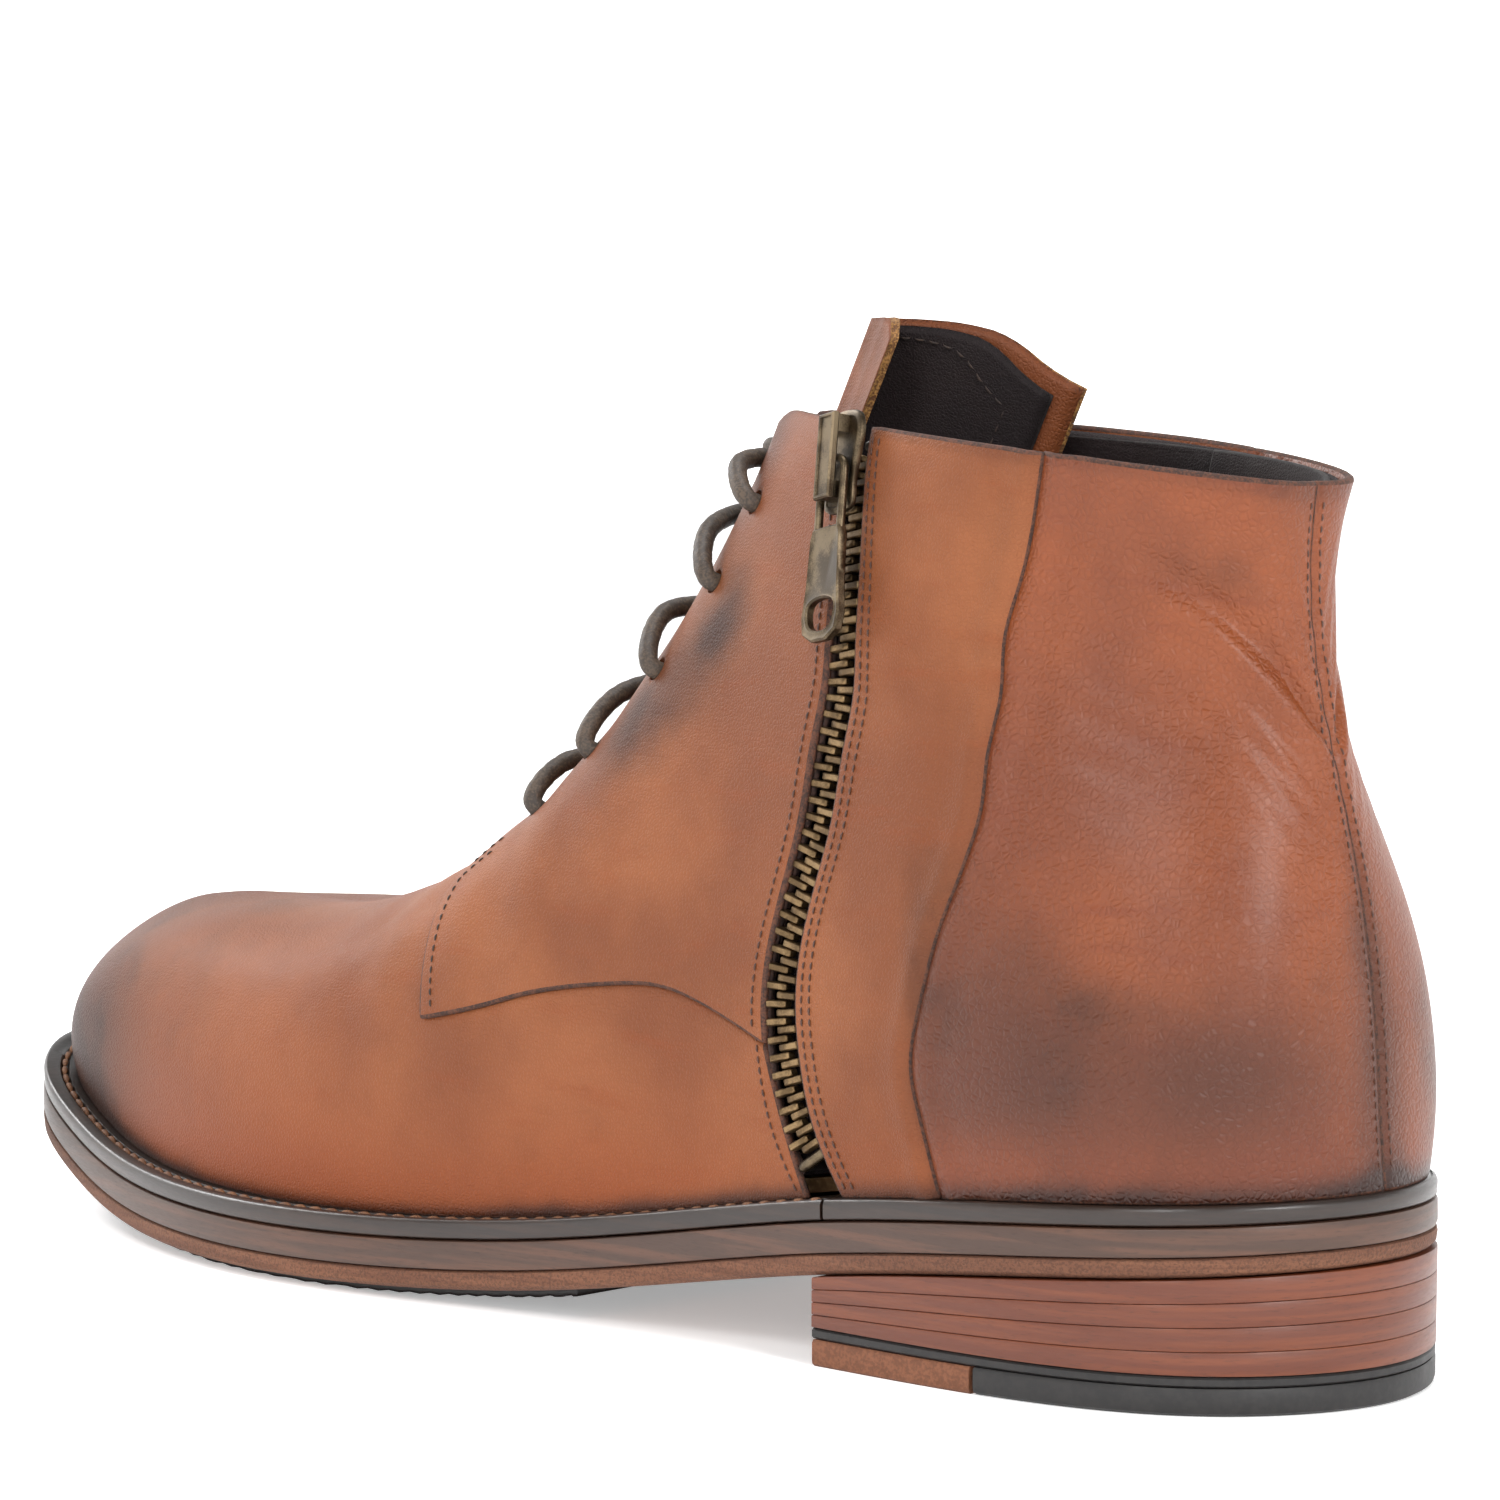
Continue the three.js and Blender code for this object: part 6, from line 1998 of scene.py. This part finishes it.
    def ring_plate(self, made: Pieces, outline: list, hole: list, centre: tuple) -> None:
        """Adds a plate with one hole, both outlines seen from a centre inside the hole."""
        angles = np.linspace(-math.pi, math.pi, 96, endpoint=False)
        lines = []
        for shape in (outline, hole):
            corners = zip(np.array(shape), np.roll(shape, -1, 0))
            straight = np.concatenate([np.linspace(a, b, 40, endpoint=False) for a, b in corners])
            rows = self.rounded(shape, 400) if shape is hole else straight
            rows = rows - np.array(centre)
            turn = np.arctan2(rows[:, 1], rows[:, 0])
            order = np.argsort(turn)
            size = np.linalg.norm(rows, axis=1)[order]
            lines.append(np.interp(angles, turn[order], size, period=2 * math.pi))
        way = np.stack([np.cos(angles), np.sin(angles)], -1)
        far, near = lines
        low, high = self.level - 0.8, self.level + 0.8
        shape = [
            (far - 0.35, low), (far, low + 0.3), (far, high - 0.3), (far - 0.35, high),
            (far - 0.8, high - 0.1), (near + 0.7, high - 0.1), (near + 0.35, high),
            (near, high - 0.3), (near, low + 0.3), (near + 0.35, low),
        ]  # fmt: skip
        rings = []
        for i in range(len(angles)):
            ring = []
            for size, height in shape:
                d, a = way[i] * size[i] + np.array(centre)
                ring.append(self.in_slider(d, a, height))
            rings.append(ring)
        made.loft(np.array(rings), closed=True)


# ------------------------------------------------------------------------------------ lacing
@dataclass
class Lacing:
    """The waxed lace, its tips and the eyelets it runs through."""

    last: Last
    finishes: Finishes
    radius: float = 1.6
    under: float = -5.25
    over: float = 4.1
    tucked: tuple = ((4.93, 14), (4.88, 20), (4.75, 24), (4.55, 24.5), (4.42, 24.5))

    def hole(self, outer: bool, i: int) -> tuple:
        """Place and direction of an eyelet."""
        place, share = self.last.front_place(*EYELETS[i], outer)
        return self.last.surface(place, share), self.last.normal(place, share)

    def edge(self, ridge: float) -> float:
        """How far the quarter's edge lies from the middle at a ridge position."""
        return float(np.interp(ridge, *zip(*FACING)))

    def end_route(self, outer: bool, middle: float) -> list:
        """Route of one lace end from the lowest pair to the inside of the shaft."""
        points = []
        for i, (ridge, _) in enumerate(EYELETS):
            centre, normal = self.hole(outer, i)
            following = 4.97 if i == len(EYELETS) - 1 else EYELETS[i + 1][0]
            points += [centre + normal * self.under, centre - normal * 1.5, centre + normal * 2.2]
            rise = ridge + (following - ridge) * 0.3
            points.append(self.last.front_point(rise, self.edge(rise) + 2, outer, self.over))
            points.append(self.last.front_point((ridge + following) / 2, 0, outer, middle))
            dive = ridge + (following - ridge) * 0.75
            points.append(self.last.front_point(dive, self.edge(dive) - 1, not outer, self.under + 0.2))
            outer = not outer
        points += [self.last.front_point(ridge, half, outer, self.under) for ridge, half in self.tucked]
        return points

    def route(self) -> np.ndarray:
        """The whole lace's centreline, evenly spaced."""
        bridge = self.last.front_point(3.78, 0, False, self.under)
        points = np.array([*self.end_route(False, -2.8)[::-1], bridge, *self.end_route(True, 1.2)])
        path = []
        for i in range(len(points) - 1):
            before = points[i - 1] if i else 2 * points[0] - points[1]
            after = points[i + 2] if i + 2 < len(points) else 2 * points[-1] - points[-2]
            path.append(self.segment(before, points[i], points[i + 1], after))
        LOG.info("lace route over %d knots", len(points))
        return even(np.concatenate(path), LACE_STEP)

    def segment(self, a: np.ndarray, b: np.ndarray, c: np.ndarray, d: np.ndarray) -> np.ndarray:
        """One stretch of a centripetal spline, from b to c."""
        first, middle, last = (math.sqrt(np.linalg.norm(q - p)) for p, q in ((a, b), (b, c), (c, d)))
        into = ((b - a) / first - (c - a) / (first + middle) + (c - b) / middle) * middle
        leave = ((c - b) / middle - (d - b) / (middle + last) + (d - c) / last) * middle
        u = np.linspace(0, 1, 40, endpoint=False)[:, None]
        return (
            (2 * u**3 - 3 * u**2 + 1) * b
            + (u**3 - 2 * u**2 + u) * into
            + (-2 * u**3 + 3 * u**2) * c
            + (u**3 - u**2) * leave
        )

    def build(self) -> None:
        """Builds the lace with its braid, the tips and the eyelets."""
        path = self.route()
        sides = 18
        angle = np.linspace(0, 2 * math.pi, sides, endpoint=False)[None, :]
        along = np.arange(len(path))[:, None] * LACE_STEP
        left = np.abs(np.sin(4 * angle / 2 + along * 1.15))
        right = np.abs(np.sin(4 * angle / 2 - along * 1.15))
        radius = self.radius * (0.94 + 0.1 * np.maximum(left, right) - 0.04)
        made = Pieces()
        made.loft(tube(path, radius, sides))
        made.build("lace_cord", self.last, [self.finishes.lace], "lace", ["lace"])
        for name, end, node in (("lace_tip_inner", 0, "aglet_inner"), ("lace_tip_outer", -1, "aglet_outer")):
            run = unit(path[0] - path[4]) if end == 0 else unit(path[-1] - path[-5])
            steps = np.array([0.3, 0.6, 1.2, 10.5, 11.6, 12.0])
            sizes = np.array([0.9, 1.25, 1.3, 1.25, 1.0, 0.5])
            made = Pieces()
            made.loft(tube(path[end] + run * steps[:, None], sizes, 14))
            made.build(name, self.last, [self.finishes.rubber], "lace", [node], sharp=50)
        for outer, side in ((False, "inner"), (True, "outer")):
            for i in range(len(EYELETS)):
                self.eyelet(outer, side, i)

    def eyelet(self, outer: bool, side: str, i: int) -> None:
        """Builds one eyelet ring behind the leather."""
        centre, normal = self.hole(outer, i)
        across = unit(np.cross([0, 1, 0], normal))
        other = np.cross(normal, across)
        rings = []
        for turn in np.linspace(0, 2 * math.pi, 28, endpoint=False):
            way = across * math.cos(turn) + other * math.sin(turn)
            shape = [(2.3, -1.9), (2.2, -1.7), (2.35, -1.5), (2.8, -1.42)]
            shape += [(3.2, -1.55), (3.3, -1.75), (3.1, -1.95)]
            rings.append([centre + way * size + normal * level for size, level in shape])
        made = Pieces()
        made.loft(np.array(rings), closed=True)
        node = f"eyelet_{side}_{i + 1}"
        made.build(f"ring_{side}_{i + 1}", self.last, [self.finishes.brass], "eyelet_metal", [node])


# ------------------------------------------------------------------------------------ studio
@dataclass
class Studio:
    """Camera, floor and lights."""

    last: Last
    azimuth: float = 43.98
    elevation: float = 5.565
    distance: float = 877.7
    lens: float = 125.9
    roll: float = 0.172
    shift: tuple = (0.0538, 0.0777)
    target: tuple = (150.0, 0.0, 70.0)

    def build(self) -> None:
        """Builds everything that is not the boot."""
        a, e = math.radians(self.azimuth), math.radians(self.elevation)
        back = Vector((math.sin(a) * math.cos(e), -math.cos(a) * math.cos(e), math.sin(e)))
        middle = Vector((np.array(self.target) - self.last.shift) * MM)
        data = bpy.data.cameras.new("studio_camera")
        data.lens = self.lens
        data.sensor_width = 36
        data.shift_x, data.shift_y = self.shift
        camera = placed("studio_camera", data)
        camera.location = middle + back * self.distance * MM
        turn = back.to_track_quat("Z", "Y").to_matrix().to_4x4()
        spin = Matrix.Rotation(math.radians(self.roll), 4, "Z")
        camera.matrix_world = Matrix.Translation(camera.location) @ turn @ spin
        bpy.context.scene.camera = camera
        self.floor()
        self.wall()
        self.lights(middle)

    def floor(self) -> None:
        """Builds a wide pale floor."""
        mesh = bpy.data.meshes.new("studio_floor")
        ring = [(6 * math.cos(k * math.pi / 32), 6 * math.sin(k * math.pi / 32), 0) for k in range(64)]
        mesh.from_pydata(ring, [], [list(range(64))])
        graph = Graph("pale_floor")
        paper = graph.noise(3, 2)
        base = graph.mix(paper, (0.96, 0.96, 0.96, 1), (0.97, 0.97, 0.97, 1))
        paint = {"Base Color": base, "Roughness": 0.8, "Specular IOR Level": 0.1}
        paint |= {"Emission Color": base, "Emission Strength": 0.35}
        mesh.materials.append(graph.finish(paint))
        item = placed("studio_floor", mesh)

    def wall(self) -> None:
        """Builds a bright plain wall far round the boot."""
        count, radius, high = 64, 5.5, 3.2
        turns = [k * 2 * math.pi / count for k in range(count)]
        rings = [[(radius * math.cos(t), radius * math.sin(t), z) for t in turns] for z in (-0.4, high)]
        faces = [[k, (k + 1) % count, count + (k + 1) % count, count + k] for k in range(count)]
        mesh = bpy.data.meshes.new("studio_wall")
        mesh.from_pydata(rings[0] + rings[1], [], faces)
        graph = Graph("bright_wall")
        glow = graph.mix(graph.noise(1, 1), (1, 1, 1, 1), (0.99, 0.99, 0.99, 1))
        paint = {"Emission Color": glow, "Emission Strength": 1.0, "Roughness": 1.0}
        mesh.materials.append(graph.finish(paint))
        item = placed("studio_wall", mesh)

    def lights(self, middle: Vector) -> None:
        """Adds the soft lights and a white surround."""
        world = bpy.data.worlds.new("studio_world")
        world.use_nodes = True
        world.node_tree.nodes["Background"].inputs["Color"].default_value = (1, 1, 1, 1)
        world.node_tree.nodes["Background"].inputs["Strength"].default_value = 0.22
        bpy.context.scene.world = world
        bpy.context.scene.view_settings.view_transform = "Standard"
        parts = (
            ("key_light", (0.35, -1.0, 0.95), 0.45, 6.0),
            ("toe_light", (-1.2, -0.1, 0.9), 0.5, 9.0),
            ("heel_light", (1.1, -0.25, 0.75), 0.3, 7.0),
            ("top_light", (-0.1, 0.2, 1.5), 0.9, 15.0),
        )
        for name, place, size, power in parts:
            data = bpy.data.lights.new(name, "AREA")
            data.shape = "DISK"
            data.size = size
            data.energy = power
            lamp = placed(name, data)
            lamp.location = place
            aim = (Vector((0, 0, 0.08)) - Vector(place)).to_track_quat("-Z", "Y")
            lamp.rotation_euler = aim.to_euler()


def main() -> None:
    """Builds the boot around its frame."""
    logging.basicConfig(level=logging.INFO, format="%(message)s")
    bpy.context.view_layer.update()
    last = Last()
    Studio(last).build()
    finishes = Finishes()
    upper = Upper(last, finishes)
    Lacing(last, finishes).build()
    Sole(last, finishes).build()
    upper.build()
    Tongue(last, finishes).build()
    Zip(last, finishes, upper).build()


if __name__ == "__main__":
    main()
